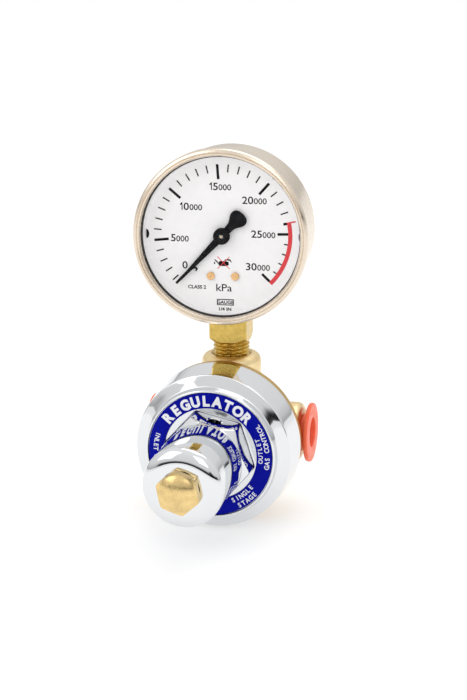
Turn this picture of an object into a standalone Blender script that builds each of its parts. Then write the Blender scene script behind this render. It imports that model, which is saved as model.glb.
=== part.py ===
"""A preset gas regulator: brass body, chromed bonnet, one contents gauge and two push-in port plugs.

+Z is up, the adjusting-screw nose points along -Y and the outlet port along +X. The origin is the centre
of the body's flat rear face. Units are metres.
"""

import bmesh
import bpy
from math import cos, pi, radians, sin

MM = 0.001

# Body, with depths counted forward from its rear face
PORT_DEPTH = 13.0 * MM
PORT_FACE = 27.1 * MM
TOP_FACE = 28.4 * MM
BOSS_RADIUS = 11.0 * MM
SIDE_BOSS_ROUND = 2.4 * MM
TOP_BOSS_ROUND = 3.0 * MM
PORT_RADIUS = 6.7 * MM
PORT_BOTTOM = 13.0 * MM
GAUGE_PORT_RADIUS = 6.9 * MM
GAUGE_PORT_BOTTOM = 16.5 * MM
PASSAGE_RADIUS = 2.0 * MM
BARREL_RADIUS = 19.0 * MM
RIM_RADIUS = 29.3 * MM
RIM_BACK = 24.7 * MM
RIM_FRONT = 28.6 * MM
NECK_RADIUS = 26.8 * MM
NECK_TOP = 35.2 * MM
CHAMBER_RADIUS = 20.5 * MM
CHAMBER_FLOOR = 30.2 * MM
VALVE_BORE_RADIUS = 5.5 * MM
VALVE_BORE_FLOOR = 7.0 * MM
NOZZLE_BORE_RADIUS = 7.0 * MM
NOZZLE_SEAT = 22.0 * MM

# Bonnet
FIT_GAP = 0.3 * MM
SKIRT_FRONT_RADIUS = 28.5 * MM
SKIRT_BACK_RADIUS = 29.7 * MM
SKIRT_FRONT = 41.6 * MM
LIP_RADIUS = 23.05 * MM
LIP_TOP = 45.85 * MM
FLOOR = 44.8 * MM
HEX_CORNER_RADIUS = 16.7 * MM
HEX_TOP = 55.5 * MM
HEX_TURN = radians(-12.5)
NOSE_BASE_RADIUS = 14.3 * MM
NOSE_RADIUS = 13.7 * MM
NOSE_SHOULDER = 79.5 * MM
NOSE_TOP = 83.3 * MM
CROWN_RADIUS = 9.6 * MM
CROWN_CURVE = 75.0 * MM
SPRING_BORE_RADIUS = 11.2 * MM
SPRING_BORE_TOP = 73.0 * MM
SCREW_HOLE_RADIUS = 5.3 * MM
DIAPHRAGM_SHOULDER = 37.3 * MM
VENT_RADIUS = 2.5 * MM
VENT_DEPTH = 49.7 * MM
LABEL_INNER = 17.15 * MM
LABEL_OUTER = 22.8 * MM

# Adjusting screw
SCREW_CORNER_RADIUS = 7.94 * MM
SCREW_TURN = radians(11.4)
SCREW_TOP = 88.2 * MM

# Gauge, with forward distances counted from the stem's axis
GAUGE_HEIGHT = 75.85 * MM
GAUGE_TURN = radians(3.2)
CASE_RADIUS = 30.2 * MM
CASE_WALL = 0.9 * MM
CASE_FRONT = 16.0 * MM
CASE_BACK = -9.5 * MM
CASE_ROUND = 4.5 * MM
BEZEL_RADIUS = 31.5 * MM
BEZEL_FRONT = 20.1 * MM
BEZEL_BACK = 14.2 * MM
WINDOW_RADIUS = 30.1 * MM
DIAL_RADIUS = 28.6 * MM
DIAL_FRONT = 13.6 * MM
ZERO_ANGLE = radians(223.6)
DIAL_SCREW_X = 4.45 * MM
DIAL_SCREW_Z = -14.75 * MM
SHANK_HALF = 7.0 * MM
SHANK_BOTTOM = -41.3 * MM
THREAD_RADIUS = 6.55 * MM
THREAD_BOTTOM = -58.6 * MM
BLOCK_TOP = -22.0 * MM
TUBE_COIL_RADIUS = 20.0 * MM
TUBE_RADIUS = 1.5 * MM
TUBE_START = radians(-62.0)
TUBE_END = radians(579.0)
TUBE_FIRST = -3.0 * MM
TUBE_LAST = 4.5 * MM
SECTOR_Z = -9.4 * MM
SECTOR_RADIUS = 7.8 * MM
LINK_PIN = (-4.6 * MM, -11.4 * MM)
TIP_PIN = (-14.1 * MM, -14.2 * MM)

QUARTER = pi / 2
FORWARD = (QUARTER, 0.0, 0.0)
TO_RIGHT = (0.0, QUARTER, 0.0)
TO_LEFT = (0.0, -QUARTER, 0.0)
LARGE_STEPS = 40
ROUND_STEPS = 32
BOSS_STEPS = 24
SMALL_STEPS = 20
PORT_STEPS = 16
TINY_STEPS = 12


def clear_scene():
    for obj in list(bpy.data.objects):
        bpy.data.objects.remove(obj, do_unlink=True)


def new_collection(name):
    collection = bpy.data.collections.new(name)
    bpy.context.scene.collection.children.link(collection)
    return collection


def make_material(name, colour, roughness, metallic):
    material = bpy.data.materials.new(name)
    material.use_nodes = True
    shader = material.node_tree.nodes["Principled BSDF"]
    shader.inputs["Base Color"].default_value = (*colour, 1.0)
    shader.inputs["Roughness"].default_value = roughness
    shader.inputs["Metallic"].default_value = metallic
    return material


def new_object(name, mesh, collection, parent=None, location=(0, 0, 0), rotation=(0, 0, 0)):
    obj = bpy.data.objects.new(name, mesh)
    obj.location = location
    obj.rotation_euler = rotation
    obj.parent = parent
    collection.objects.link(obj)
    return obj


def add_empty(name, location, rotation=(0, 0, 0), parent=None):
    return new_object(name, None, PARTS, parent, location, rotation)


def finish(obj, material):
    obj.data.materials.append(material)
    return obj


def as_cutter(obj):
    obj.hide_render = True
    obj.display_type = "WIRE"
    return obj


def arc(centre, radius, start, end, steps):
    """Points of a circular arc in the (radius, height) plane, both ends included."""
    angles = [start + (end - start) * i / steps for i in range(steps + 1)]
    return [(centre[0] + radius * cos(a), centre[1] + radius * sin(a)) for a in angles]


def turned(name, outline, steps, collection, ring=False, **place):
    """A solid of revolution about its own Z axis, from (radius, height) points that run down its outside."""
    mesh = bpy.data.meshes.new(name)
    edges = [(i, i + 1) for i in range(len(outline) - 1)]
    if ring:
        edges.append((len(outline) - 1, 0))
    mesh.from_pydata([(r, 0, h) for r, h in outline], edges, [])
    obj = new_object(name, mesh, collection, **place)
    screw = obj.modifiers.new("Turn", "SCREW")
    screw.steps = steps
    screw.render_steps = steps
    screw.use_merge_vertices = True
    screw.merge_threshold = 1e-5
    screw.use_smooth_shade = True
    return obj


def tube_ring(name, inner, outer, low, high, steps, collection, **place):
    outline = [(outer, high), (outer, low), (inner, low), (inner, high)]
    return turned(name, outline, steps, collection, ring=True, **place)


def rod(name, radius, low, high, steps, collection, **place):
    outline = [(0, high), (radius, high), (radius, low), (0, low)]
    return turned(name, outline, steps, collection, **place)


def prism(name, corner_radius, low, high, turn, collection, **place):
    """A hexagonal prism along its own Z axis, its first corner turned from +X by the given angle."""
    mesh = bpy.data.meshes.new(name)
    shape = bmesh.new()
    bmesh.ops.create_cone(
        shape, cap_ends=True, segments=6, radius1=corner_radius, radius2=corner_radius, depth=high - low
    )
    first = max(shape.verts, key=lambda v: v.co.x)
    corner_angle = pi / 6 if abs(first.co.y) > 1e-6 else 0.0
    spin = turn - corner_angle
    for vert in shape.verts:
        x, y, z = vert.co
        vert.co = (x * cos(spin) - y * sin(spin), x * sin(spin) + y * cos(spin), z + (low + high) / 2)
    shape.to_mesh(mesh)
    shape.free()
    return new_object(name, mesh, collection, **place)


def box(name, low, high, collection, **place):
    mesh = bpy.data.meshes.new(name)
    shape = bmesh.new()
    bmesh.ops.create_cube(shape, size=1.0)
    for vert in shape.verts:
        vert.co = [low[i] + (vert.co[i] + 0.5) * (high[i] - low[i]) for i in range(3)]
    shape.to_mesh(mesh)
    shape.free()
    return new_object(name, mesh, collection, **place)


def curve_mesh(name, curve, collection, **place):
    """The closed mesh of a curve object, which the mesh replaces."""
    source = new_object(name + "_curve", curve, collection)
    bpy.context.view_layer.update()
    graph = bpy.context.evaluated_depsgraph_get()
    mesh = bpy.data.meshes.new_from_object(source.evaluated_get(graph))
    bpy.data.objects.remove(source, do_unlink=True)
    mesh.name = name
    shape = bmesh.new()
    shape.from_mesh(mesh)
    bmesh.ops.remove_doubles(shape, verts=shape.verts, dist=1e-6)
    bmesh.ops.recalc_face_normals(shape, faces=shape.faces)
    shape.to_mesh(mesh)
    shape.free()
    return new_object(name, mesh, collection, **place)


def flat(name, outline, low, high, collection, **place):
    """A flat plate between two heights, cut to a closed outline in its own XY plane."""
    curve = bpy.data.curves.new(name + "_outline", "CURVE")
    curve.dimensions = "2D"
    curve.fill_mode = "BOTH"
    curve.extrude = (high - low) / 2
    spline = curve.splines.new("POLY")
    spline.points.add(len(outline) - 1)
    for point, (x, y) in zip(spline.points, outline):
        point.co = (x, y, 0, 1)
    spline.use_cyclic_u = True
    plate = curve_mesh(name, curve, collection, **place)
    for vert in plate.data.vertices:
        vert.co.z += (low + high) / 2
    return plate


def wire(name, path, radius, resolution, collection, **place):
    """A round wire along the points of a path."""
    curve = bpy.data.curves.new(name + "_path", "CURVE")
    curve.dimensions = "3D"
    curve.bevel_depth = radius
    curve.bevel_resolution = resolution
    curve.use_fill_caps = True
    spline = curve.splines.new("POLY")
    spline.points.add(len(path) - 1)
    for point, place_on_path in zip(spline.points, path):
        point.co = (*place_on_path, 1)
    coil = curve_mesh(name, curve, collection, **place)
    for face in coil.data.polygons:
        face.use_smooth = True
    return coil


def helix(radius, low, high, first, last, per_turn):
    count = round(abs(last - first) / (2 * pi) * per_turn)
    points = []
    for i in range(count + 1):
        angle = first + (last - first) * i / count
        points.append((radius * cos(angle), radius * sin(angle), low + (high - low) * i / count))
    return points


def combine(obj, other, operation):
    step = obj.modifiers.new(other.name, "BOOLEAN")
    step.operation = operation
    step.object = as_cutter(other)
    return obj


def cut(obj, *others):
    for other in others:
        combine(obj, other, "DIFFERENCE")


def join(obj, *others):
    for other in others:
        combine(obj, other, "UNION")


def boss_outline(top, low, edge):
    """A round boss whose outer edge is rounded to a given radius."""
    corner = arc((BOSS_RADIUS - edge, top - edge), edge, QUARTER, 0, 3)
    return [(0, top), *corner, (BOSS_RADIUS, low), (0, low)]


def port_outline(face, radius, bottom, passage_end=None):
    """The hollow of a threaded port with its chamfered mouth, and the passage from its bottom."""
    mouth = radius + 0.7 * MM
    slope = 0.7 / 0.8
    start = [(0, face + MM), (mouth + slope * MM, face + MM), (radius, face - 0.8 * MM), (radius, bottom)]
    if passage_end is None:
        return [*start, (0, bottom - 1.5 * MM)]
    return [
        *start,
        (PASSAGE_RADIUS, bottom - MM),
        (PASSAGE_RADIUS, passage_end),
        (0, passage_end),
    ]


def build_body():
    edge = 0.4 * MM
    outline = [
        (0, VALVE_BORE_FLOOR),
        (VALVE_BORE_RADIUS, VALVE_BORE_FLOOR),
        (VALVE_BORE_RADIUS, NOZZLE_SEAT),
        (NOZZLE_BORE_RADIUS, NOZZLE_SEAT),
        (NOZZLE_BORE_RADIUS, CHAMBER_FLOOR),
        (CHAMBER_RADIUS, CHAMBER_FLOOR),
        (CHAMBER_RADIUS, NECK_TOP),
        (NECK_RADIUS - edge, NECK_TOP),
        (NECK_RADIUS, NECK_TOP - edge),
        (NECK_RADIUS, RIM_FRONT),
        (RIM_RADIUS - edge, RIM_FRONT),
        (RIM_RADIUS, RIM_FRONT - edge),
        (RIM_RADIUS, RIM_BACK + edge),
        (RIM_RADIUS - edge, RIM_BACK),
        (BARREL_RADIUS, RIM_BACK),
        (BARREL_RADIUS, 5.0 * MM),
        (13.5 * MM, 1.2 * MM),
        (12.3 * MM, 0),
        (0, 0),
    ]
    body = turned("body", outline, ROUND_STEPS, PARTS, rotation=FORWARD)
    centre = (0, -PORT_DEPTH, 0)
    boss_inner = 8.0 * MM
    inner = 4.0 * MM
    side_boss = boss_outline(PORT_FACE, boss_inner, SIDE_BOSS_ROUND)
    top_boss = boss_outline(TOP_FACE, boss_inner, TOP_BOSS_ROUND)
    join(
        body,
        turned("boss_right", side_boss, BOSS_STEPS, CUTTERS, location=centre, rotation=TO_RIGHT),
        turned("boss_left", side_boss, BOSS_STEPS, CUTTERS, location=centre, rotation=TO_LEFT),
        turned("boss_top", top_boss, BOSS_STEPS, CUTTERS, location=centre),
    )
    inlet = port_outline(PORT_FACE, PORT_RADIUS, PORT_BOTTOM, inner)
    outlet = port_outline(PORT_FACE, PORT_RADIUS, PORT_BOTTOM)
    gauge_port = port_outline(TOP_FACE, GAUGE_PORT_RADIUS, GAUGE_PORT_BOTTOM, inner)
    cut(
        body,
        turned("inlet_hollow", inlet, PORT_STEPS, CUTTERS, location=centre, rotation=TO_LEFT),
        turned("outlet_hollow", outlet, PORT_STEPS, CUTTERS, location=centre, rotation=TO_RIGHT),
        turned("gauge_hollow", gauge_port, PORT_STEPS, CUTTERS, location=centre),
        rod(
            "outlet_passage",
            PASSAGE_RADIUS,
            PORT_DEPTH,
            CHAMBER_FLOOR + MM,
            TINY_STEPS,
            CUTTERS,
            location=(15.5 * MM, 0, 0),
            rotation=FORWARD,
        ),
    )
    return finish(body, BRASS)


def crown_outline():
    """The nose's front end: a shallow dome with a soft elliptical edge, down to the tapered side."""
    crown = []
    for i in range(2):
        radius = CROWN_RADIUS * i / 2
        crown.append((radius, NOSE_TOP - radius**2 / (2 * CROWN_CURVE)))
    crown_edge = NOSE_TOP - CROWN_RADIUS**2 / (2 * CROWN_CURVE)
    for i in range(5):
        angle = QUARTER * (1 - i / 4)
        radius = CROWN_RADIUS + (NOSE_RADIUS - CROWN_RADIUS) * cos(angle)
        crown.append((radius, NOSE_SHOULDER + (crown_edge - NOSE_SHOULDER) * sin(angle)))
    return crown


def build_bonnet():
    back = RIM_FRONT + FIT_GAP
    lip = [
        (LIP_RADIUS, FLOOR),
        (LIP_RADIUS, LIP_TOP - 0.2 * MM),
        (LIP_RADIUS + 0.25 * MM, LIP_TOP),
        (LIP_RADIUS + 0.6 * MM, LIP_TOP - 0.05 * MM),
        (LIP_RADIUS + 1.0 * MM, LIP_TOP - 0.5 * MM),
        (LIP_RADIUS + 1.2 * MM, LIP_TOP - 1.2 * MM),
        (LIP_RADIUS + 1.35 * MM, SKIRT_FRONT + 1.7 * MM),
    ]
    skirt = [
        (0, FLOOR),
        *lip,
        (SKIRT_FRONT_RADIUS - 3.6 * MM, SKIRT_FRONT + 1.4 * MM),
        (SKIRT_FRONT_RADIUS - 0.5 * MM, SKIRT_FRONT + 0.3 * MM),
        (SKIRT_FRONT_RADIUS - 0.1 * MM, SKIRT_FRONT),
        (SKIRT_FRONT_RADIUS + 0.05 * MM, SKIRT_FRONT - 0.5 * MM),
        (SKIRT_BACK_RADIUS, back + 0.3 * MM),
        (SKIRT_BACK_RADIUS - 0.3 * MM, back),
        (0, back),
    ]
    bonnet = turned("bonnet", skirt, LARGE_STEPS, PARTS, rotation=FORWARD)
    hexagon = prism("hex", HEX_CORNER_RADIUS, FLOOR - MM, HEX_TOP, HEX_TURN, CUTTERS, rotation=FORWARD)
    chamfer = [
        (0, HEX_TOP + MM),
        (NOSE_BASE_RADIUS - 0.7 * MM, HEX_TOP + MM),
        (HEX_CORNER_RADIUS + 0.5 * MM, HEX_TOP - 3.8 * MM),
        (HEX_CORNER_RADIUS + 0.5 * MM, FLOOR - 2 * MM),
        (0, FLOOR - 2 * MM),
    ]
    combine(hexagon, turned("hex_chamfer", chamfer, ROUND_STEPS, CUTTERS, rotation=FORWARD), "INTERSECT")
    nose = [*crown_outline(), (NOSE_BASE_RADIUS, HEX_TOP), (NOSE_BASE_RADIUS, FLOOR - MM), (0, FLOOR - MM)]
    join(bonnet, hexagon, turned("nose", nose, ROUND_STEPS, CUTTERS, rotation=FORWARD))
    hollow = [
        (0, NOSE_TOP + 2 * MM),
        (SCREW_HOLE_RADIUS, NOSE_TOP + 2 * MM),
        (SCREW_HOLE_RADIUS, SPRING_BORE_TOP),
        (SPRING_BORE_RADIUS, SPRING_BORE_TOP),
        (SPRING_BORE_RADIUS, 41.5 * MM),
        (19.5 * MM, 39.5 * MM),
        (19.5 * MM, DIAPHRAGM_SHOULDER),
        (NECK_RADIUS + FIT_GAP, DIAPHRAGM_SHOULDER),
        (NECK_RADIUS + FIT_GAP, back - MM),
        (0, back - MM),
    ]
    vent_centre = add_empty("vent_direction", (0, -VENT_DEPTH, 0), (0, QUARTER - (HEX_TURN + QUARTER), 0))
    cut(
        bonnet,
        turned("bonnet_hollow", hollow, ROUND_STEPS, CUTTERS, rotation=FORWARD),
        rod("vent", VENT_RADIUS, 8 * MM, 20 * MM, PORT_STEPS, CUTTERS, parent=vent_centre),
    )
    return finish(bonnet, CHROME)


def build_diaphragm_stack():
    place = {"collection": PARTS, "rotation": FORWARD}
    label_back = FLOOR + FIT_GAP
    label = tube_ring("label_ring", LABEL_INNER, LABEL_OUTER, label_back, 45.45 * MM, LARGE_STEPS, **place)
    finish(label, BLUE_ENAMEL)
    finish(tube_ring("slip_ring", 20.5 * MM, 26 * MM, 36.3 * MM, 37 * MM, ROUND_STEPS, **place), BRASS)
    finish(rod("diaphragm", 25.8 * MM, 35.5 * MM, 36 * MM, ROUND_STEPS, **place), RUBBER)
    outline = [
        (0, 40.6 * MM),
        (5.5 * MM, 40.6 * MM),
        (6.0 * MM, 40.1 * MM),
        (6.0 * MM, 38.4 * MM),
        (12.6 * MM, 38.4 * MM),
        (13.0 * MM, 38.0 * MM),
        (13.0 * MM, 36.3 * MM),
        (0, 36.3 * MM),
    ]
    finish(turned("diaphragm_plate", outline, SMALL_STEPS, PARTS, rotation=FORWARD), BRASS)


def build_adjustment():
    path = helix(8.6 * MM, 40.2 * MM, 64.3 * MM, 0, 12 * pi, 12)
    finish(wire("main_spring", path, 1.4 * MM, 1, PARTS, rotation=FORWARD), STEEL)
    button = [
        (0, 68.4 * MM),
        (2.2 * MM, 69.6 * MM),
        (9.9 * MM, 69.6 * MM),
        (10.4 * MM, 69.1 * MM),
        (10.4 * MM, 66.1 * MM),
        (6.0 * MM, 66.1 * MM),
        (5.6 * MM, 63.5 * MM),
        (0, 63.5 * MM),
    ]
    finish(turned("upper_spring_button", button, SMALL_STEPS, PARTS, rotation=FORWARD), STEEL)
    head_low = NOSE_TOP
    shank = [
        (0, head_low + MM),
        (4.95 * MM, head_low + MM),
        (4.95 * MM, 71.2 * MM),
        (4.4 * MM, 70.6 * MM),
        (1.2 * MM, 69.6 * MM),
        (0, 68.9 * MM),
    ]
    screw = prism(
        "adjusting_screw", SCREW_CORNER_RADIUS, head_low, SCREW_TOP + MM, SCREW_TURN, PARTS, rotation=FORWARD
    )
    crown = [
        (0, SCREW_TOP),
        (2.2 * MM, SCREW_TOP - 0.2 * MM),
        (4.2 * MM, SCREW_TOP - 0.75 * MM),
        (5.8 * MM, SCREW_TOP - 1.45 * MM),
        (6.9 * MM, SCREW_TOP - 2.0 * MM),
        (8.4 * MM, SCREW_TOP - 2.9 * MM),
        (8.4 * MM, head_low),
        (0, head_low),
    ]
    combine(screw, turned("screw_crown", crown, SMALL_STEPS, CUTTERS, rotation=FORWARD), "INTERSECT")
    join(screw, turned("screw_shank", shank, PORT_STEPS, CUTTERS, rotation=FORWARD))
    finish(screw, BRASS)


def build_valve():
    nozzle = prism("nozzle", 8.6 * MM, 31.4 * MM, 33.4 * MM, 0, PARTS, rotation=FORWARD)
    join(nozzle, rod("nozzle_thread", 6.65 * MM, 22.4 * MM, 32 * MM, SMALL_STEPS, CUTTERS, rotation=FORWARD))
    cut(nozzle, rod("nozzle_bore", 1.7 * MM, 20 * MM, 36 * MM, TINY_STEPS, CUTTERS, rotation=FORWARD))
    finish(nozzle, BRASS)
    place = {"collection": PARTS, "rotation": FORWARD}
    finish(tube_ring("nozzle_seal", 7.05 * MM, 9 * MM, 30.5 * MM, 31.1 * MM, SMALL_STEPS, **place), RUBBER)
    poppet = [
        (0, 35.2 * MM),
        (1.2 * MM, 35.2 * MM),
        (1.2 * MM, 20.6 * MM),
        (3.9 * MM, 20.6 * MM),
        (3.9 * MM, 13.0 * MM),
        (1.9 * MM, 13.0 * MM),
        (1.9 * MM, 11.0 * MM),
        (0, 11.0 * MM),
    ]
    finish(turned("valve_poppet", poppet, PORT_STEPS, PARTS, rotation=FORWARD), BRASS)
    seat = tube_ring("seat_disc", 1.55 * MM, 3.6 * MM, 20.9 * MM, 22.1 * MM, PORT_STEPS, **place)
    finish(seat, WHITE_POLYMER)
    path = helix(2.75 * MM, 7.7 * MM, 12.3 * MM, 0, 8 * pi, 10)
    finish(wire("valve_spring", path, 0.35 * MM, 0, PARTS, rotation=FORWARD), STEEL)


def build_ports():
    centre = (0, -PORT_DEPTH, 0)
    inlet = {"collection": PARTS, "location": centre, "rotation": TO_LEFT}
    filter_disc = rod("inlet_filter", 6.3 * MM, 13.4 * MM, 16.4 * MM, SMALL_STEPS, **inlet)
    finish(filter_disc, SINTERED_BRONZE)
    retainer = tube_ring("filter_retainer", 4.6 * MM, 6.3 * MM, 16.8 * MM, 17.5 * MM, SMALL_STEPS, **inlet)
    finish(retainer, STEEL)
    flange = 29.3 * MM
    face = 30.9 * MM
    edge = 0.35 * MM
    plug = [
        (0, 19.6 * MM),
        (5.0 * MM, 19.6 * MM),
        (5.65 * MM, face),
        (BOSS_RADIUS - edge, face),
        (BOSS_RADIUS, face - edge),
        (BOSS_RADIUS, flange + edge),
        (BOSS_RADIUS - edge, flange),
        (6.75 * MM, flange),
        (6.75 * MM, 27.6 * MM),
        (6.35 * MM, 27.0 * MM),
        (5.9 * MM, 18.2 * MM),
        (0, 18.2 * MM),
    ]
    for name, rotation in (("inlet_plug", TO_LEFT), ("outlet_plug", TO_RIGHT)):
        finish(turned(name, plug, SMALL_STEPS, PARTS, location=centre, rotation=rotation), ORANGE_PLASTIC)


def build_gauge_case(gauge):
    inner = CASE_RADIUS - CASE_WALL
    floor = CASE_BACK + CASE_WALL
    back_centre = (CASE_RADIUS - CASE_ROUND, CASE_BACK + CASE_ROUND)
    outline = [
        (0, floor),
        *arc(back_centre, CASE_ROUND - CASE_WALL, -QUARTER, 0, 3),
        (inner, CASE_FRONT),
        (CASE_RADIUS, CASE_FRONT),
        *arc(back_centre, CASE_ROUND, 0, -QUARTER, 4),
        (0, CASE_BACK),
    ]
    case = turned("gauge_case", outline, LARGE_STEPS, PARTS, parent=gauge, rotation=FORWARD)
    slot = SHANK_HALF + 0.4 * MM
    blowout = {"parent": gauge, "location": (0, 0, 14 * MM), "rotation": FORWARD}
    cut(
        case,
        box("socket_slot", (-slot, -slot, -36 * MM), (slot, slot, -20 * MM), CUTTERS, parent=gauge),
        rod("blowout_hole", 5 * MM, -12 * MM, -6 * MM, SMALL_STEPS, CUTTERS, **blowout),
    )
    finish(case, CHAMPAGNE)
    plug = [
        (0, -7.5 * MM),
        (6 * MM, -7.5 * MM),
        (6 * MM, -8.2 * MM),
        (4.6 * MM, -8.2 * MM),
        (4.6 * MM, -9.8 * MM),
        (6.2 * MM, -9.8 * MM),
        (5.6 * MM, -10.6 * MM),
        (0, -10.6 * MM),
    ]
    finish(turned("blowout_plug", plug, SMALL_STEPS, PARTS, **blowout), RUBBER)
    bezel = [
        (BEZEL_RADIUS - 0.7 * MM, BEZEL_FRONT),
        (BEZEL_RADIUS - 0.2 * MM, BEZEL_FRONT - 0.3 * MM),
        (BEZEL_RADIUS, BEZEL_FRONT - 0.9 * MM),
        (BEZEL_RADIUS, BEZEL_BACK + 0.4 * MM),
        (BEZEL_RADIUS - 0.3 * MM, BEZEL_BACK),
        (CASE_RADIUS + FIT_GAP, BEZEL_BACK),
        (CASE_RADIUS + FIT_GAP, 19.5 * MM),
        (29.2 * MM, 19.5 * MM),
        (29.2 * MM, 19.8 * MM),
        (29.6 * MM, BEZEL_FRONT),
    ]
    forward = {"collection": PARTS, "parent": gauge, "rotation": FORWARD}
    finish(turned("gauge_bezel", bezel, LARGE_STEPS, ring=True, **forward), CHAMPAGNE)
    finish(rod("gauge_window", WINDOW_RADIUS, 17.7 * MM, 19.2 * MM, ROUND_STEPS, **forward), CLEAR)
    gasket_back = CASE_FRONT + 0.4 * MM
    gasket_inner = 28.8 * MM
    gasket_front = 17.4 * MM
    gasket = tube_ring(
        "window_gasket", gasket_inner, WINDOW_RADIUS, gasket_back, gasket_front, ROUND_STEPS, **forward
    )
    finish(gasket, RUBBER)


def polar(radius, angle):
    """A point on the dial, its angle clockwise from the top."""
    return (radius * sin(angle), radius * cos(angle))


def build_dial(gauge):
    forward = {"parent": gauge, "rotation": FORWARD}
    dial = rod("dial", DIAL_RADIUS, DIAL_FRONT - 0.5 * MM, DIAL_FRONT, ROUND_STEPS, PARTS, **forward)
    pin_x, pin_z = polar(16 * MM, ZERO_ANGLE - radians(4.6))
    holes = [
        (0, 0, 1.2),
        (-DIAL_SCREW_X, DIAL_SCREW_Z, 1.15),
        (DIAL_SCREW_X, DIAL_SCREW_Z, 1.15),
        (pin_x, pin_z, 0.8),
    ]
    for i, (x, z, radius) in enumerate(holes):
        place = {"parent": gauge, "location": (x, 0, z), "rotation": FORWARD}
        cut(dial, rod(f"dial_hole_{i}", radius * MM, 12 * MM, 15 * MM, TINY_STEPS, CUTTERS, **place))
    finish(dial, WHITE_PAINT)
    screw = [
        (0, 14.6 * MM),
        (1.1 * MM, 14.6 * MM),
        (1.45 * MM, 14.3 * MM),
        (1.45 * MM, 13.9 * MM),
        (0.8 * MM, 13.9 * MM),
        (0.8 * MM, 10.9 * MM),
        (0, 10.9 * MM),
    ]
    for name, x in (("dial_screw_left", -DIAL_SCREW_X), ("dial_screw_right", DIAL_SCREW_X)):
        place = {"parent": gauge, "location": (x, 0, DIAL_SCREW_Z), "rotation": FORWARD}
        finish(turned(name, screw, TINY_STEPS, PARTS, **place), BRASS)
    place = {"parent": gauge, "location": (pin_x, 0, pin_z), "rotation": FORWARD}
    finish(rod("zero_stop_pin", 0.45 * MM, 12.6 * MM, 15.6 * MM, TINY_STEPS, PARTS, **place), BLACK_PAINT)


def build_pointer(gauge):
    axis = add_empty("pointer_axis", (0, 0, 0), (0, ZERO_ANGLE, 0), gauge)
    bulb = arc((0, -8.5 * MM), 3.2 * MM, radians(155), radians(385), 14)
    half = 0.9 * MM
    tip = 22.8 * MM
    neck = -4 * MM
    blade = [(half, neck), (half, 0), (0.1 * MM, tip), (-0.1 * MM, tip), (-half, 0), (-half, neck)]
    pointer = flat("pointer", [*blade, *bulb], 14.6 * MM, 15.2 * MM, PARTS, parent=axis, rotation=FORWARD)
    hub = [
        (0, 17.3 * MM),
        (2.2 * MM, 17.3 * MM),
        (2.9 * MM, 16.6 * MM),
        (2.9 * MM, 14.4 * MM),
        (0, 14.4 * MM),
    ]
    join(pointer, turned("pointer_hub", hub, SMALL_STEPS, CUTTERS, parent=axis, rotation=FORWARD))
    place = {"parent": axis, "rotation": FORWARD}
    cut(pointer, rod("pointer_bore", 1.1 * MM, 13 * MM, 16.7 * MM, TINY_STEPS, CUTTERS, **place))
    finish(pointer, BLACK_PAINT)
    arbor = [
        (0, 16.4 * MM),
        (0.8 * MM, 16.4 * MM),
        (0.8 * MM, 10.7 * MM),
        (1.25 * MM, 10.7 * MM),
        (1.25 * MM, 9.3 * MM),
        (0.6 * MM, 9.3 * MM),
        (0.6 * MM, 7.6 * MM),
        (0, 7.6 * MM),
    ]
    finish(turned("pinion_arbor", arbor, TINY_STEPS, PARTS, parent=gauge, rotation=FORWARD), STEEL)


def plate_with_holes(name, low_z, depth, holes, gauge):
    half = 8 * MM
    thickness = 0.8 * MM
    plate = box(name, (-half, -depth - thickness, low_z), (half, -depth, 6 * MM), PARTS, parent=gauge)
    for i, (x, z, radius) in enumerate(holes):
        place = {"parent": gauge, "location": (x, 0, z), "rotation": FORWARD}
        cut(plate, rod(f"{name}_hole_{i}", radius, depth - MM, depth + 2 * MM, TINY_STEPS, CUTTERS, **place))
    return finish(plate, BRASS)


def build_movement(gauge):
    screw_x = 5.0 * MM
    screw_z = -25.0 * MM
    pivot = 0.95 * MM
    clear = 1.15 * MM
    back_holes = [(0, 0, pivot), (0, SECTOR_Z, pivot)]
    front_holes = [(0, 0, clear), (0, SECTOR_Z, pivot)]
    for sign in (-1, 1):
        back_holes.append((sign * screw_x, screw_z, clear))
        front_holes.append((sign * DIAL_SCREW_X, DIAL_SCREW_Z, clear))
    plate_with_holes("movement_back_plate", -27.5 * MM, 7.3 * MM, back_holes, gauge)
    plate_with_holes("movement_front_plate", -17.5 * MM, 11 * MM, front_holes, gauge)
    screw = [
        (0, 9.5 * MM),
        (1.5 * MM, 9.5 * MM),
        (1.5 * MM, 8.4 * MM),
        (0.8 * MM, 8.4 * MM),
        (0.8 * MM, 4.6 * MM),
        (0, 4.6 * MM),
    ]
    for side, sign in (("left", -1), ("right", 1)):
        place = {"parent": gauge, "location": (sign * screw_x, 0, screw_z), "rotation": FORWARD}
        finish(turned(f"movement_screw_{side}", screw, TINY_STEPS, PARTS, **place), STEEL)
        place["location"] = (sign * 6.6 * MM, 0, 3.8 * MM)
        pillar = rod(f"movement_pillar_{side}", 1.2 * MM, 8.4 * MM, 10.7 * MM, TINY_STEPS, PARTS, **place)
        finish(pillar, BRASS)
    build_sector(gauge)
    spiral = []
    for i in range(37):
        angle = 6 * pi * i / 36
        radius = (1.6 + 3.0 * i / 36) * MM
        spiral.append((radius * cos(angle), radius * sin(angle), 8.65 * MM))
    finish(wire("hairspring", spiral, 0.15 * MM, 0, PARTS, parent=gauge, rotation=FORWARD), STEEL)


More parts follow.
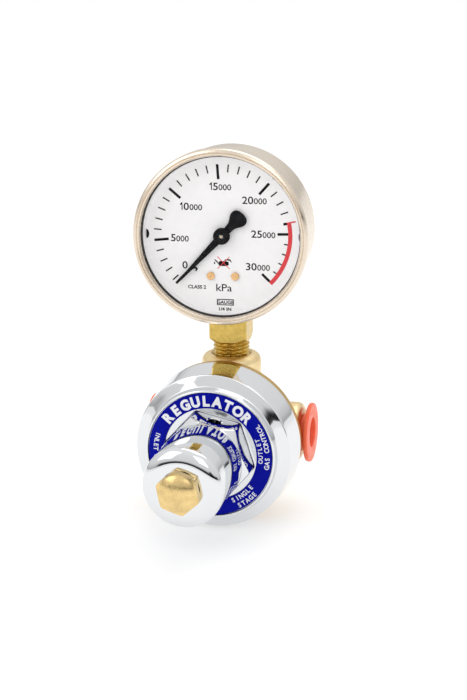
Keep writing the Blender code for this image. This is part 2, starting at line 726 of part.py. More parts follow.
def build_sector(gauge):
    pivot = add_empty("sector_axis", (0, 0, SECTOR_Z), (0, 0, 0), gauge)
    teeth = arc((0, 0), SECTOR_RADIUS, radians(97), radians(33), 10)
    hub = arc((0, 0), 1.9 * MM, radians(20), radians(-120), 5)
    tail_x = LINK_PIN[0]
    tail_z = LINK_PIN[1] - SECTOR_Z
    tail_angle = radians(203.5)
    tail = arc((tail_x, tail_z), 1.5 * MM, tail_angle + QUARTER, tail_angle - QUARTER, 6)
    outline = [*teeth, *hub, *tail]
    sector = flat("sector_gear", outline, 9.7 * MM, 10.6 * MM, PARTS, parent=pivot, rotation=FORWARD)
    arbor = {"parent": pivot, "rotation": FORWARD}
    join(sector, rod("sector_arbor", 0.6 * MM, 7.6 * MM, 11.6 * MM, TINY_STEPS, CUTTERS, **arbor))
    hole = {"parent": pivot, "location": (tail_x, 0, tail_z), "rotation": FORWARD}
    cut(sector, rod("sector_hole", 0.85 * MM, 9 * MM, 11.3 * MM, TINY_STEPS, CUTTERS, **hole))
    finish(sector, BRASS)


def build_link(gauge):
    pin = add_empty("link_axis", (LINK_PIN[0], 0, LINK_PIN[1]), (0, 0, 0), gauge)
    reach_x = TIP_PIN[0] - LINK_PIN[0]
    reach_z = TIP_PIN[1] - LINK_PIN[1]
    near = arc((0, 0), MM, radians(-82), radians(98), 6)
    far = arc((reach_x, reach_z), 1.4 * MM, radians(98), radians(278), 6)
    link = flat("link", [*near, *far], 8.5 * MM, 9.4 * MM, PARTS, parent=pin, rotation=FORWARD)
    end = {"parent": pin, "rotation": FORWARD}
    join(link, rod("link_pin", 0.5 * MM, 9 * MM, 10.6 * MM, TINY_STEPS, CUTTERS, **end))
    hole = {"parent": pin, "location": (reach_x, 0, reach_z), "rotation": FORWARD}
    cut(link, rod("link_hole", 0.85 * MM, 8 * MM, 10 * MM, TINY_STEPS, CUTTERS, **hole))
    finish(link, BRASS)


def build_bourdon_tube(gauge):
    path = helix(TUBE_COIL_RADIUS, TUBE_FIRST, TUBE_LAST, TUBE_START, TUBE_END, 20)
    finish(wire("bourdon_tube", path, TUBE_RADIUS, 1, PARTS, parent=gauge, rotation=FORWARD), BRASS)
    outline = [
        (0, 9.3 * MM),
        (0.5 * MM, 9.3 * MM),
        (0.5 * MM, 7.8 * MM),
        (1.8 * MM, 7.8 * MM),
        (1.8 * MM, 2.8 * MM),
        (0, 2.8 * MM),
    ]
    place = {"parent": gauge, "location": (TIP_PIN[0], 0, TIP_PIN[1]), "rotation": FORWARD}
    finish(turned("tube_tip", outline, TINY_STEPS, PARTS, **place), BRASS)


def build_socket(gauge):
    half = SHANK_HALF
    socket = box("gauge_socket", (-half, -half, SHANK_BOTTOM), (half, half, BLOCK_TOP), PARTS, parent=gauge)
    corner = [
        (0, BLOCK_TOP + MM),
        (12 * MM, BLOCK_TOP + MM),
        (12 * MM, SHANK_BOTTOM + 3.2 * MM),
        (7.6 * MM, SHANK_BOTTOM - 0.1 * MM),
        (0, SHANK_BOTTOM - 0.1 * MM),
    ]
    combine(socket, turned("shank_chamfer", corner, SMALL_STEPS, CUTTERS, parent=gauge), "INTERSECT")
    stem = [
        (0, SHANK_BOTTOM + MM),
        (THREAD_RADIUS, SHANK_BOTTOM + MM),
        (THREAD_RADIUS, THREAD_BOTTOM + 0.8 * MM),
        (THREAD_RADIUS - 0.8 * MM, THREAD_BOTTOM),
        (0, THREAD_BOTTOM),
    ]
    ear = ((3 * MM, MM, BLOCK_TOP - MM), (7 * MM, 5 * MM, -17.5 * MM))
    join(
        socket,
        turned("socket_stem", stem, BOSS_STEPS, CUTTERS, parent=gauge),
        box("tube_ear", ear[0], ear[1], CUTTERS, parent=gauge),
    )
    bore = [
        (0, BLOCK_TOP - 4 * MM),
        (MM, BLOCK_TOP - 4 * MM),
        (MM, -50 * MM),
        (2.1 * MM, -50 * MM),
        (2.1 * MM, THREAD_BOTTOM - MM),
        (0, THREAD_BOTTOM - MM),
    ]
    cut(socket, turned("socket_bore", bore, TINY_STEPS, CUTTERS, parent=gauge))
    for side, sign in (("left", -1), ("right", 1)):
        place = {"parent": gauge, "location": (sign * 5 * MM, 0, -25 * MM), "rotation": FORWARD}
        cut(socket, rod(f"socket_hole_{side}", 1.15 * MM, 4.2 * MM, 8 * MM, TINY_STEPS, CUTTERS, **place))
    finish(socket, BRASS)
    restrictor = tube_ring(
        "restrictor_screw", 0.4 * MM, 1.7 * MM, -56.5 * MM, -52.0 * MM, TINY_STEPS, PARTS, parent=gauge
    )
    finish(restrictor, BRASS)


def build_gauge():
    gauge = add_empty("gauge_frame", (0, -PORT_DEPTH, GAUGE_HEIGHT), (0, 0, GAUGE_TURN))
    build_gauge_case(gauge)
    build_dial(gauge)
    build_pointer(gauge)
    build_movement(gauge)
    build_link(gauge)
    build_bourdon_tube(gauge)
    build_socket(gauge)


clear_scene()
PARTS = new_collection("gas_regulator")
CUTTERS = new_collection("cutters")
CUTTERS.hide_render = True
BRASS = make_material("brass", (0.78, 0.57, 0.22), 0.3, 1.0)
CHROME = make_material("chrome", (0.85, 0.86, 0.88), 0.06, 1.0)
STEEL = make_material("steel", (0.55, 0.56, 0.58), 0.35, 1.0)
CHAMPAGNE = make_material("champagne_plating", (0.80, 0.71, 0.52), 0.22, 1.0)
BLUE_ENAMEL = make_material("blue_enamel", (0.02, 0.03, 0.42), 0.25, 0.0)
RUBBER = make_material("rubber", (0.03, 0.03, 0.03), 0.7, 0.0)
WHITE_POLYMER = make_material("white_polymer", (0.85, 0.85, 0.82), 0.5, 0.0)
SINTERED_BRONZE = make_material("sintered_bronze", (0.55, 0.36, 0.2), 0.8, 1.0)
ORANGE_PLASTIC = make_material("orange_plastic", (0.95, 0.2, 0.1), 0.4, 0.0)
WHITE_PAINT = make_material("white_paint", (0.9, 0.9, 0.9), 0.45, 0.0)
BLACK_PAINT = make_material("black_paint", (0.01, 0.01, 0.01), 0.4, 0.0)
CLEAR = make_material("clear_window", (0.95, 0.97, 1.0), 0.03, 0.0)

build_body()
build_bonnet()
build_diaphragm_stack()
build_adjustment()
build_valve()
build_ports()
build_gauge()
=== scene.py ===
"""The looks of a preset gas regulator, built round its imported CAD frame.

The forged body, chromed bonnet, label, screw, gauge and plugs are rebuilt finely, and the works inside keep
their CAD solids. Lengths are in metres. A turned piece is drawn as (radius, height) points about its own Z
axis, down its outside, and a placing matrix such as FORWARD or GAUGE turns that axis to where it belongs.
"""

from math import cos, pi, radians, sin, tan

import bmesh
import bpy
import numpy as np
from mathutils import Matrix, Vector


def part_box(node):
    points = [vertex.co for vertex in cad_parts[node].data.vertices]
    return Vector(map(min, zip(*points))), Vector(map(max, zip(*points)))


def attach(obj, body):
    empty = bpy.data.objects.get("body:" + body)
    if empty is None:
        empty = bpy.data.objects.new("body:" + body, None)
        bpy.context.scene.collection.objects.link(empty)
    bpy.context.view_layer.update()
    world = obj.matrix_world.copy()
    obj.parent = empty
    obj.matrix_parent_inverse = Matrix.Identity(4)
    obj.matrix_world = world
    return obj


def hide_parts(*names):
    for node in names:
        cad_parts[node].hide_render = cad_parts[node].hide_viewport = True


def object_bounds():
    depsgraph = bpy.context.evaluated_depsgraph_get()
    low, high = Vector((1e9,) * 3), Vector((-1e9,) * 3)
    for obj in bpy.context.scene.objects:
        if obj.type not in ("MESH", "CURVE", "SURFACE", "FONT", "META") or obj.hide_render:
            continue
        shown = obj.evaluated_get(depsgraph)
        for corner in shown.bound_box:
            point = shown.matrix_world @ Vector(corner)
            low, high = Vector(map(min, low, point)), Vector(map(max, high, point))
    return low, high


MM = 0.001
TAU = 2 * pi
QUARTER = pi / 2

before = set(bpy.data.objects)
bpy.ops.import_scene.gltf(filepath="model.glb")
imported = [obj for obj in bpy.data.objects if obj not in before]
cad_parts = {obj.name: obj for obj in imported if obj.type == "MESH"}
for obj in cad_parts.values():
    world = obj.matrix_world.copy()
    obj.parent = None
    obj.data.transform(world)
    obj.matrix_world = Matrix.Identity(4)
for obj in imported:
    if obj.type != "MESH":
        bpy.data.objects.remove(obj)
CAD_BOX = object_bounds()


def corner(node, end, axis):
    """One coordinate of a CAD node's box: end 0 is its lowest corner and 1 its highest."""
    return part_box(node)[end][axis]


def shift(x, y, z):
    return Matrix.Translation((x, y, z))


# Driving places, from the frame
PORT_DEPTH = -(corner("outlet_plug", 0, 1) + corner("outlet_plug", 1, 1)) / 2
PLUG_FACE = corner("outlet_plug", 1, 0)
BOSS_RADIUS = (corner("outlet_plug", 1, 2) - corner("outlet_plug", 0, 2)) / 2
SKIRT_RADIUS = corner("bonnet", 1, 2)
RIM_RADIUS = SKIRT_RADIUS - 0.4 * MM
NOSE_TOP = -corner("bonnet", 0, 1)
SCREW_TOP = -corner("adjusting_screw", 0, 1)
BODY_TOP = corner("body", 1, 2)
GAUGE_HEIGHT = (corner("gauge_bezel", 0, 2) + corner("gauge_bezel", 1, 2)) / 2
BEZEL_RADIUS = (corner("gauge_bezel", 1, 2) - corner("gauge_bezel", 0, 2)) / 2
CASE_RADIUS = BEZEL_RADIUS - 1.3 * MM
THREAD_BOTTOM = corner("gauge_socket", 0, 2) - GAUGE_HEIGHT
GAUGE_TURN = radians(3.2)

# Body and bonnet: radii, and depths counted forward from the body's rear face
PORT_FACE = 27.1 * MM
PORT_RADIUS = 6.7 * MM
GAUGE_PORT_RADIUS = 7.0 * MM
BARREL_RADIUS = 19.0 * MM
RIM_BACK = 24.7 * MM
RIM_FRONT = 28.6 * MM
NECK_RADIUS = 26.8 * MM
NECK_TOP = 35.2 * MM
CHAMBER_FLOOR = 30.2 * MM
FLOOR = 44.8 * MM
LIP_RADIUS = 23.05 * MM
LIP_TOP = 45.85 * MM
SKIRT_BACK = 28.9 * MM
SKIRT_FRONT = 41.9 * MM
HEX_CORNER = 16.7 * MM
HEX_TOP = 55.5 * MM
HEX_TURN = radians(-12.5)
VENT_DEPTH = 49.7 * MM
SCREW_HOLE = 5.3 * MM
NOSE_BASE_RADIUS = 14.3 * MM
NOSE_RADIUS = 14.15 * MM
NOSE_SHOULDER = 79.5 * MM
LABEL_INNER = 17.15 * MM
LABEL_OUTER = 22.8 * MM
LABEL_BACK = 45.1 * MM
LABEL_FRONT = 45.42 * MM

# Gauge distances forward of the stem's axis, and its dial
CASE_FRONT = 16.0 * MM
CASE_BACK = -9.5 * MM
BEZEL_FRONT = 20.1 * MM
BEZEL_BACK = 14.2 * MM
BEZEL_LIP = 28.75 * MM
LIP_BACK = 17.5 * MM
DIAL_FRONT = 13.6 * MM
DIAL_RADIUS = 28.6 * MM
DIAL_RIM = 16.85 * MM
DIAL_WALL = 28.1 * MM
DIAL_CENTRE = 0.24 * MM
PRINT_BASE = DIAL_FRONT - 0.02 * MM
PRINT_TOP = DIAL_FRONT + 0.03 * MM
TICK_OUTER = 25.1 * MM
TICK_MAJOR = 19.8 * MM
TICK_MINOR = 22.3 * MM
RED_INNER = 23.6 * MM
RED_OUTER = 25.1 * MM
ZERO_ANGLE = radians(223.6)
SCALE_START = radians(218.3)
SCALE_SPAN = radians(276.0)
SCALE_TOP = 30
RED_START = 24
DIAL_SCREW = (4.45 * MM, -14.75 * MM)
SHANK_HALF = 7.0 * MM
SHANK_BOTTOM = -41.3 * MM
BLOCK_TOP = -22.0 * MM

FORWARD = Matrix.Rotation(QUARTER, 4, "X")
PORTS = shift(0, -PORT_DEPTH, 0)
TO_RIGHT = PORTS @ Matrix.Rotation(QUARTER, 4, "Y")
TO_LEFT = PORTS @ Matrix.Rotation(-QUARTER, 4, "Y")
GAUGE_UP = shift(0, -PORT_DEPTH, GAUGE_HEIGHT) @ Matrix.Rotation(GAUGE_TURN, 4, "Z")
GAUGE = GAUGE_UP @ FORWARD


# Mesh building

SHARP = 35  # degrees between faces, from which an edge stays crisp


def linked(name, data):
    obj = bpy.data.objects.new(name, data)
    bpy.context.scene.collection.objects.link(obj)
    return obj


def new_object(name, mesh, material):
    mesh.materials.clear()
    mesh.materials.append(material)
    return linked(name, mesh)


def evaluated(obj):
    bpy.context.view_layer.update()
    return bpy.data.meshes.new_from_object(obj.evaluated_get(bpy.context.evaluated_depsgraph_get()))


def shade(mesh, sharp):
    mesh.shade_smooth()
    mesh.set_sharp_from_angle(angle=radians(sharp))


def skin(name, grid, material, place, poles=None, sharp=SHARP):
    """A closed surface over rows of points that each go once round an axis.

    It closes on itself, as a ring does, or on two end points.
    """
    rows, steps = grid.shape[:2]
    index = np.arange(rows * steps).reshape(rows, steps)
    here, below = (index, np.roll(index, -1, 0)) if poles is None else (index[:-1], index[1:])
    quads = np.stack([here, below, np.roll(below, -1, 1), np.roll(here, -1, 1)], axis=-1)
    points = grid.reshape(-1, 3)
    faces = quads.reshape(-1, 4).tolist()
    if poles is not None:
        points = np.vstack([points, poles])
        top = rows * steps
        for a, b in zip(index[0], np.roll(index[0], -1)):
            faces.append((top, int(a), int(b)))
        for a, b in zip(index[-1], np.roll(index[-1], -1)):
            faces.append((top + 1, int(b), int(a)))
    mesh = bpy.data.meshes.new(name)
    mesh.from_pydata(points.tolist(), [], faces)
    mesh.transform(place)
    shade(mesh, sharp)
    return new_object(name, mesh, material)


def rings(radii, heights, angles):
    """A grid of points from a radius for each row and step, and a height for each row."""
    radii = np.broadcast_to(radii, (len(heights), len(angles)))
    tall = np.broadcast_to(np.asarray(heights)[:, None], radii.shape)
    return np.stack([radii * np.cos(angles), radii * np.sin(angles), tall], axis=-1)


def turned_rows(outline, angles):
    radii, heights = np.array(outline).T
    return rings(radii[:, None], heights, angles)


def around(steps):
    return np.arange(steps) * TAU / steps


def turned(name, outline, material, place, steps=160, ring=False):
    """A turned piece. Unless it is a ring, its outline starts and ends on the axis."""
    if ring:
        return skin(name, turned_rows(outline, around(steps)), material, place)
    poles = [(0, 0, outline[0][1]), (0, 0, outline[-1][1])]
    return skin(name, turned_rows(outline[1:-1], around(steps)), material, place, poles)


def rod(name, radius, low, high, material, place, steps):
    return turned(name, [(0, high), (radius, high), (radius, low), (0, low)], material, place, steps)


def rounded(points, ring=False, steps=5):
    """An outline from (radius, height) points. A third number is that corner's fillet in millimetres."""
    outline = []
    count = len(points)
    for i, (r, h, *fillet) in enumerate(points):
        if not fillet or (not ring and i in (0, count - 1)):
            outline.append((r, h))
            continue
        at = Vector((r, h))
        back = Vector(points[i - 1][:2]) - at
        on = Vector(points[(i + 1) % count][:2]) - at
        half = back.angle(on) / 2
        reach = min(fillet[0] * MM / tan(half), 0.48 * back.length, 0.48 * on.length)
        centre = at + (back.normalized() + on.normalized()).normalized() * reach / cos(half)
        size = reach * tan(half)
        first = at + back.normalized() * reach - centre
        last = at + on.normalized() * reach - centre
        for step in range(steps + 1):
            ray = first.lerp(last, step / steps).normalized() * size
            outline.append(tuple(centre + ray))
    return outline


def soft_min(a, b, k):
    h = np.clip(0.5 + 0.5 * (b - a) / k, 0, 1)
    return b + (a - b) * h - k * h * (1 - h)


def soft_max(a, b, k):
    return -soft_min(-a, -b, k)


def polygon(angles, sides, corner_radius, turn, soft):
    """The radius of a regular polygon in each direction, its corners slightly rounded."""
    sector = TAU / sides
    flat = corner_radius * cos(sector / 2)
    off_flat = (angles - turn) % sector - sector / 2
    return soft_min(flat / np.cos(off_flat), corner_radius - 0.4 * soft, soft)


def combine(obj, others, operation, sharp):
    """Applies Booleans with other pieces, which are used up."""
    for other in others:
        step = obj.modifiers.new(other.name, "BOOLEAN")
        step.operation = operation
        step.object = other
        step.solver = "MANIFOLD"
    mesh = evaluated(obj)
    obj.modifiers.clear()
    old = obj.data
    obj.data = mesh
    bpy.data.meshes.remove(old)
    for other in others:
        bpy.data.objects.remove(other, do_unlink=True)
    shade(mesh, sharp)


def cut(obj, *others, sharp=SHARP):
    combine(obj, others, "DIFFERENCE", sharp)


def join(obj, other):
    combine(obj, [other], "UNION", SHARP)


def surface_nets(sample, low, high, cell):
    """Points and quads of the zero surface of a distance function, one point in each cell that it crosses."""
    axes = [np.arange(low[i], high[i] + cell, cell) for i in range(3)]
    grid = np.stack(np.meshgrid(*axes, indexing="ij"), axis=-1)
    field = sample(grid)
    shape = np.array(field.shape)
    total = np.zeros((*(shape - 1), 3))
    number = np.zeros(shape - 1)
    crossings = []
    for axis in range(3):
        near, far = [slice(None)] * 3, [slice(None)] * 3
        near[axis], far[axis] = slice(-1), slice(1, None)
        first, second = field[tuple(near)], field[tuple(far)]
        crossing = (first < 0) != (second < 0)
        share = np.where(crossing, first / np.where(crossing, first - second, 1), 0)
        position = grid[tuple(near)].copy()
        position[..., axis] += share * cell
        position *= crossing[..., None]
        u, v = [other for other in range(3) if other != axis]
        for du, dv in ((0, 0), (0, 1), (1, 0), (1, 1)):
            pick = [slice(None)] * 3
            pick[u] = slice(du, shape[u] - 1 + du)
            pick[v] = slice(dv, shape[v] - 1 + dv)
            total += position[tuple(pick)]
            number += crossing[tuple(pick)]
        crossings.append((u, v, crossing, first < 0))
    crossed = number > 0
    points = total[crossed] / number[crossed][:, None]
    index = np.full(number.shape, -1)
    index[crossed] = np.arange(len(points))
    quads = []
    for axis, (u, v, crossing, inside) in enumerate(crossings):
        places = np.argwhere(crossing)
        places = places[(places[:, u] > 0) & (places[:, v] > 0)]
        leaves = inside[tuple(places.T)] ^ (axis == 1)
        around_edge = []
        for du, dv in ((1, 1), (0, 1), (0, 0), (1, 0)):
            at = places.copy()
            at[:, u] -= du
            at[:, v] -= dv
            around_edge.append(index[tuple(at.T)])
        quad = np.stack(around_edge, axis=-1)
        quads.append(np.where(leaves[:, None], quad, quad[:, ::-1]))
    return points, np.vstack(quads)


def onto_surface(points, sample):
    """Moves points onto the zero surface of a distance function along its slope."""
    small = 0.02 * MM
    flattest = 0.2
    for _ in range(4):
        value = sample(points)
        slope = [(sample(points + e) - sample(points - e)) / (2 * small) for e in np.eye(3) * small]
        slope = np.stack(slope, axis=-1)
        points = points - (value / np.maximum((slope**2).sum(-1), flattest))[..., None] * slope
    return points


def ribbon(shape, stations, low, high, place):
    """Adds a flat closed strip through stations of (inner point, outer point) to a bmesh."""
    loops = []
    for inner, outer in stations:
        corners = [(*inner, low), (*outer, low), (*outer, high), (*inner, high)]
        loops.append([shape.verts.new(place @ Vector(point)) for point in corners])
    for one, two in zip(loops, loops[1:]):
        for i in range(4):
            j = (i + 1) % 4
            shape.faces.new((one[i], one[j], two[j], two[i]))
    shape.faces.new(loops[0][::-1])
    shape.faces.new(loops[-1])


def mesh_of(shape, name, material):
    bmesh.ops.recalc_face_normals(shape, faces=shape.faces)
    mesh = bpy.data.meshes.new(name)
    shape.to_mesh(mesh)
    shape.free()
    shade(mesh, SHARP)
    return new_object(name, mesh, material)


def letters(text, height, squeeze, bold):
    """Flat closed letters, 1 thick, with the origin at the middle of their baseline, and their width."""
    curve = bpy.data.curves.new("letters", "FONT")
    curve.body = text
    curve.extrude = 0.5
    curve.offset = bold
    curve.resolution_u = 4
    source = linked("letters", curve)
    mesh = evaluated(source)
    bpy.data.objects.remove(source, do_unlink=True)
    cap_height = 0.729
    size = height / cap_height
    shape = bmesh.new()
    shape.from_mesh(mesh)
    bmesh.ops.remove_doubles(shape, verts=shape.verts, dist=1e-5)
    lowest = min(v.co.x for v in shape.verts)
    widest = max(v.co.x for v in shape.verts) - lowest
    for vert in shape.verts:
        x = (vert.co.x - lowest - widest / 2) * size * squeeze
        vert.co = (x, vert.co.y * size, vert.co.z)
    shape.to_mesh(mesh)
    shape.free()
    return mesh, widest * size * squeeze


def stamp(shape, mesh, low, high, x, y, turn=0.0, base=Matrix.Identity(4)):
    """Adds flat letters to a bmesh, between two heights, at a place and a turn in its plane."""
    place = base @ shift(x, y, (low + high) / 2) @ Matrix.Rotation(turn, 4, "Z")
    mesh.transform(place @ Matrix.Diagonal((1, 1, high - low, 1)))
    shape.from_mesh(mesh)
    bpy.data.meshes.remove(mesh)


# Materials


def new_material(name, colour, roughness, metallic=0.0):
    material = bpy.data.materials.new(name)
    material.use_nodes = True
    drive(material, "Base Color", (*colour, 1))
    drive(material, "Roughness", roughness)
    drive(material, "Metallic", metallic)
    return material


def new_node(tree, kind, *values, **settings):
    """A new node whose inputs take the values in turn: numbers, or the outputs of other nodes."""
    node = tree.nodes.new(f"ShaderNode{kind}")
    for name, setting in settings.items():
        setattr(node, name, setting)
    for socket, value in zip(node.inputs, values):
        feed(tree, socket, value)
    return node


def feed(tree, socket, value):
    if isinstance(value, bpy.types.NodeSocket):
        tree.links.new(value, socket)
    else:
        socket.default_value = value


def calculate(tree, operation, *values):
    return new_node(tree, "Math", *values, operation=operation).outputs[0]


def noise(material, scale, detail):
    """A noise on the piece's own coordinates, in cells per metre."""
    tree = material.node_tree
    texture = new_node(tree, "TexNoise", new_node(tree, "TexCoord").outputs["Object"])
    texture.inputs["Scale"].default_value = scale
    texture.inputs["Detail"].default_value = detail
    return texture.outputs[0]


def spread(material, value, low, high, start=0.3, end=0.7):
    """The value between start and end, mapped to low to high."""
    return new_node(material.node_tree, "MapRange", value, start, end, low, high).outputs[0]


def patches(material, scale, detail, low=0, high=1):
    return spread(material, noise(material, scale, detail), low, high)


def drive(material, socket, value):
    feed(material.node_tree, material.node_tree.nodes["Principled BSDF"].inputs[socket], value)


def near_depth(material, depth, inner, outer):
    """A value that is 1 within inner of a depth in front of the rear face and 0 beyond outer."""
    tree = material.node_tree
    place = new_node(tree, "SeparateXYZ", new_node(tree, "TexCoord").outputs["Object"])
    distance = calculate(tree, "ABSOLUTE", calculate(tree, "ADD", place.outputs["Y"], depth))
    return spread(material, distance, 1, 0, inner, outer)


def tint(material, value, one, two):
    """Mixes two colours, by a value from 0 to 1, into the base colour."""
    tree = material.node_tree
    mix = new_node(tree, "Mix", value, data_type="RGBA")
    first, second = (socket for socket in mix.inputs if socket.type == "RGBA")
    feed(tree, first, one if isinstance(one, bpy.types.NodeSocket) else (*one, 1))
    feed(tree, second, (*two, 1))
    mixed = next(socket for socket in mix.outputs if socket.type == "RGBA")
    drive(material, "Base Color", mixed)
    return mixed


def bump(material, scale, detail, depth):
    """Adds a noise of a given depth to the relief that is there."""
    tree = material.node_tree
    node = new_node(tree, "Bump")
    node.inputs["Strength"].default_value = 1
    node.inputs["Distance"].default_value = depth
    tree.links.new(noise(material, scale, detail), node.inputs["Height"])
    normal = tree.nodes["Principled BSDF"].inputs["Normal"]
    if normal.links:
        tree.links.new(normal.links[0].from_socket, node.inputs["Normal"])
    tree.links.new(node.outputs["Normal"], normal)


def make_chrome():
    """Bright plating, with the fine rings of a cutting tool on the bonnet's flat floor."""
    material = new_material("chrome", (0.74, 0.755, 0.77), 0.05, 1.0)
    polish = patches(material, 260, 6, 0.025, 0.075)
    turned_floor = spread(material, near_depth(material, FLOOR, 0.05 * MM, 0.25 * MM), 0, 0.17, 0, 1)
    drive(material, "Roughness", calculate(material.node_tree, "ADD", polish, turned_floor))
    bump(material, 90, 2, 0.012 * MM)
    return material


def make_brass(name="machined_brass", colour=(0.80, 0.56, 0.20), shine=0.22):
    material = new_material(name, colour, shine, 1.0)
    tint(material, patches(material, 350, 6), colour, [c * 0.78 for c in colour])
    drive(material, "Roughness", patches(material, 900, 5, shine - 0.06, shine + 0.12))
    bump(material, 2500, 3, 0.01 * MM)
    return material


def make_forged_brass():
    """Blasted forging skin in soft patches, with a darker machined rim."""
    material = new_material("forged_brass", (0.78, 0.58, 0.28), 0.35, 1.0)
    skin_colour = tint(material, patches(material, 160, 5), (0.88, 0.71, 0.4), (0.76, 0.57, 0.28))
    rim = near_depth(material, (RIM_BACK + RIM_FRONT) / 2, 1.9 * MM, 2.3 * MM)
    tint(material, rim, skin_colour, (0.56, 0.37, 0.11))
    drive(material, "Roughness", patches(material, 600, 6, 0.26, 0.46))
    bump(material, 1500, 4, 0.06 * MM)
    bump(material, 220, 2, 0.1 * MM)
    return material


def make_champagne(name, one, two):
    material = new_material(name, one, 0.2, 1.0)
    tint(material, patches(material, 60, 3), one, two)
    drive(material, "Roughness", patches(material, 400, 6, 0.16, 0.27))
    bump(material, 1200, 3, 0.006 * MM)
    return material


def make_steel():
    material = new_material("steel", (0.56, 0.57, 0.59), 0.3, 1.0)
    drive(material, "Roughness", patches(material, 700, 6, 0.24, 0.42))
    tint(material, patches(material, 200, 4), (0.56, 0.57, 0.59), (0.448, 0.456, 0.472))
    bump(material, 1800, 3, 0.01 * MM)
    return material


def make_paint(name, one, two, roughness, grain, depth, gloss=0.5):
    """A coat or plastic: two close colours in soft patches, uneven roughness and a fine grain."""
    material = new_material(name, one, roughness)
    drive(material, "Specular IOR Level", gloss)
    tint(material, patches(material, grain * 0.25, 4), one, two)
    drive(material, "Roughness", patches(material, grain, 4, roughness * 0.8, roughness * 1.25))
    bump(material, grain * 2, 3, depth)
    return material


def make_glass():
    """A clear pane: what is behind shows through, and its outside mirrors more at a glancing angle."""
    material = bpy.data.materials.new("clear_window")
    material.use_nodes = True
    tree = material.node_tree
    tree.nodes.remove(tree.nodes["Principled BSDF"])
    clear = new_node(tree, "BsdfTransparent")
    gloss = new_node(tree, "BsdfAnisotropic")
    tree.links.new(patches(material, 500, 5, 0.01, 0.05), gloss.inputs["Roughness"])
    mirror = new_node(tree, "Fresnel", 1.12).outputs[0]
    inside = new_node(tree, "NewGeometry").outputs["Backfacing"]
    share = new_node(tree, "Math", mirror, inside, operation="SUBTRACT", use_clamp=True).outputs[0]
    mix = new_node(tree, "MixShader", share, clear.outputs[0], gloss.outputs[0])
    tree.links.new(mix.outputs[0], tree.nodes["Material Output"].inputs["Surface"])
    return material


CHROME = make_chrome()
BRASS = make_brass()
STEM_BRASS = make_brass("stem_brass", (0.71, 0.5, 0.13), 0.26)
SCREW_BRASS = make_brass("screw_brass", (0.84, 0.62, 0.28), 0.2)
DIAL_BRASS = make_brass("dial_screw_brass", (0.88, 0.55, 0.26), 0.24)
FORGED = make_forged_brass()
CHAMPAGNE = make_champagne("champagne_plating", (0.80, 0.70, 0.585), (0.73, 0.62, 0.5))
CASE_PLATING = make_champagne("case_plating", (0.77, 0.66, 0.52), (0.74, 0.63, 0.49))
STEEL = make_steel()
GLASS = make_glass()
BLUE = make_paint("blue_foil", (0.001, 0.003, 0.27), (0.001, 0.005, 0.31), 0.35, 900, 0.003 * MM, 0.05)
WHITE_PRINT = make_paint("white_print", (0.86, 0.87, 0.9), (0.8, 0.81, 0.85), 0.4, 1500, 0.003 * MM)
DIAL_WHITE = make_paint("dial_white", (0.90, 0.888, 0.892), (0.87, 0.858, 0.862), 0.5, 1200, 0.002 * MM)
BLACK_PAINT = make_paint(
    "black_paint", (0.006, 0.006, 0.007), (0.012, 0.012, 0.013), 0.5, 1400, 0.002 * MM, 0.06
)
RED_PRINT = make_paint("red_print", (0.72, 0.035, 0.045), (0.66, 0.03, 0.04), 0.45, 1400, 0.002 * MM)
RUBBER = make_paint("rubber", (0.022, 0.022, 0.024), (0.035, 0.034, 0.034), 0.65, 1100, 0.02 * MM)
POLYMER = make_paint("seat_polymer", (0.8, 0.78, 0.72), (0.74, 0.72, 0.66), 0.45, 1000, 0.008 * MM)
ORANGE = make_paint("orange_plastic", (0.92, 0.15, 0.062), (0.88, 0.13, 0.05), 0.38, 500, 0.015 * MM)
drive(ORANGE, "Subsurface Weight", 0.25)
drive(ORANGE, "Subsurface Radius", (0.004, 0.0012, 0.0006))
BRONZE = make_paint("sintered_bronze", (0.46, 0.28, 0.14), (0.3, 0.18, 0.09), 0.7, 1600, 0.12 * MM)
drive(BRONZE, "Metallic", 0.8)


def piece(obj, slot, *nodes, body="regulator_body"):
    """Puts a made piece on its moving body and hides the CAD nodes it stands for. The finish named by slot is
    not used.
    """
    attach(obj, body)
    if nodes:
        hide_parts(*nodes)


# The forged body


def capped_cylinder(along, across, low, high, radius, edge):
    """Distance to a cylinder between two ends, its edges rounded."""
    q_across = across - (radius - edge)
    q_along = np.abs(along - (low + high) / 2) - ((high - low) / 2 - edge)
    outside = np.hypot(np.maximum(q_across, 0), np.maximum(q_along, 0))
    return outside + np.minimum(np.maximum(q_across, q_along), 0) - edge


def forging(points):
    """Distance to the forging: x to the outlet, y up, z the depth. Its bosses melt into the barrel."""
    x, y, z = np.moveaxis(points, -1, 0)
    barrel = capped_cylinder(z, np.hypot(x, y), 0, RIM_FRONT - MM, BARREL_RADIUS, 5 * MM)
    sides = capped_cylinder(x, np.hypot(y, z - PORT_DEPTH), -PORT_FACE, PORT_FACE, BOSS_RADIUS, 2.4 * MM)
    top = capped_cylinder(y, np.hypot(x, z - PORT_DEPTH), 0, BODY_TOP, BOSS_RADIUS, 3.0 * MM)
    flange = capped_cylinder(z, np.hypot(x, y), RIM_BACK, RIM_FRONT - 0.6 * MM, RIM_RADIUS - MM, 0.8 * MM)
    bosses = np.minimum(sides, top)
    return soft_min(soft_min(barrel, bosses, 4 * MM), flange, 2.4 * MM)


def port_cutter(name, face, radius, bottom, place, end=4 * MM):
    """The hollow of a threaded port: a countersunk mouth, thread grooves, and the passage from its bottom."""
    pitch = 1.41 * MM
    height = face - 0.8 * MM
    outline = [(0, face + MM), (radius + 1.2 * MM, face + MM), (radius + 0.1 * MM, height)]
    while height - pitch > bottom:
        outline += [(radius - 0.55 * MM, height - 0.5 * pitch), (radius, height - pitch)]
        height -= pitch
    outline += [(radius - 0.6 * MM, bottom), (2 * MM, bottom - MM), (2 * MM, end), (0, end)]
    return turned(name, outline, FORGED, place, steps=96)


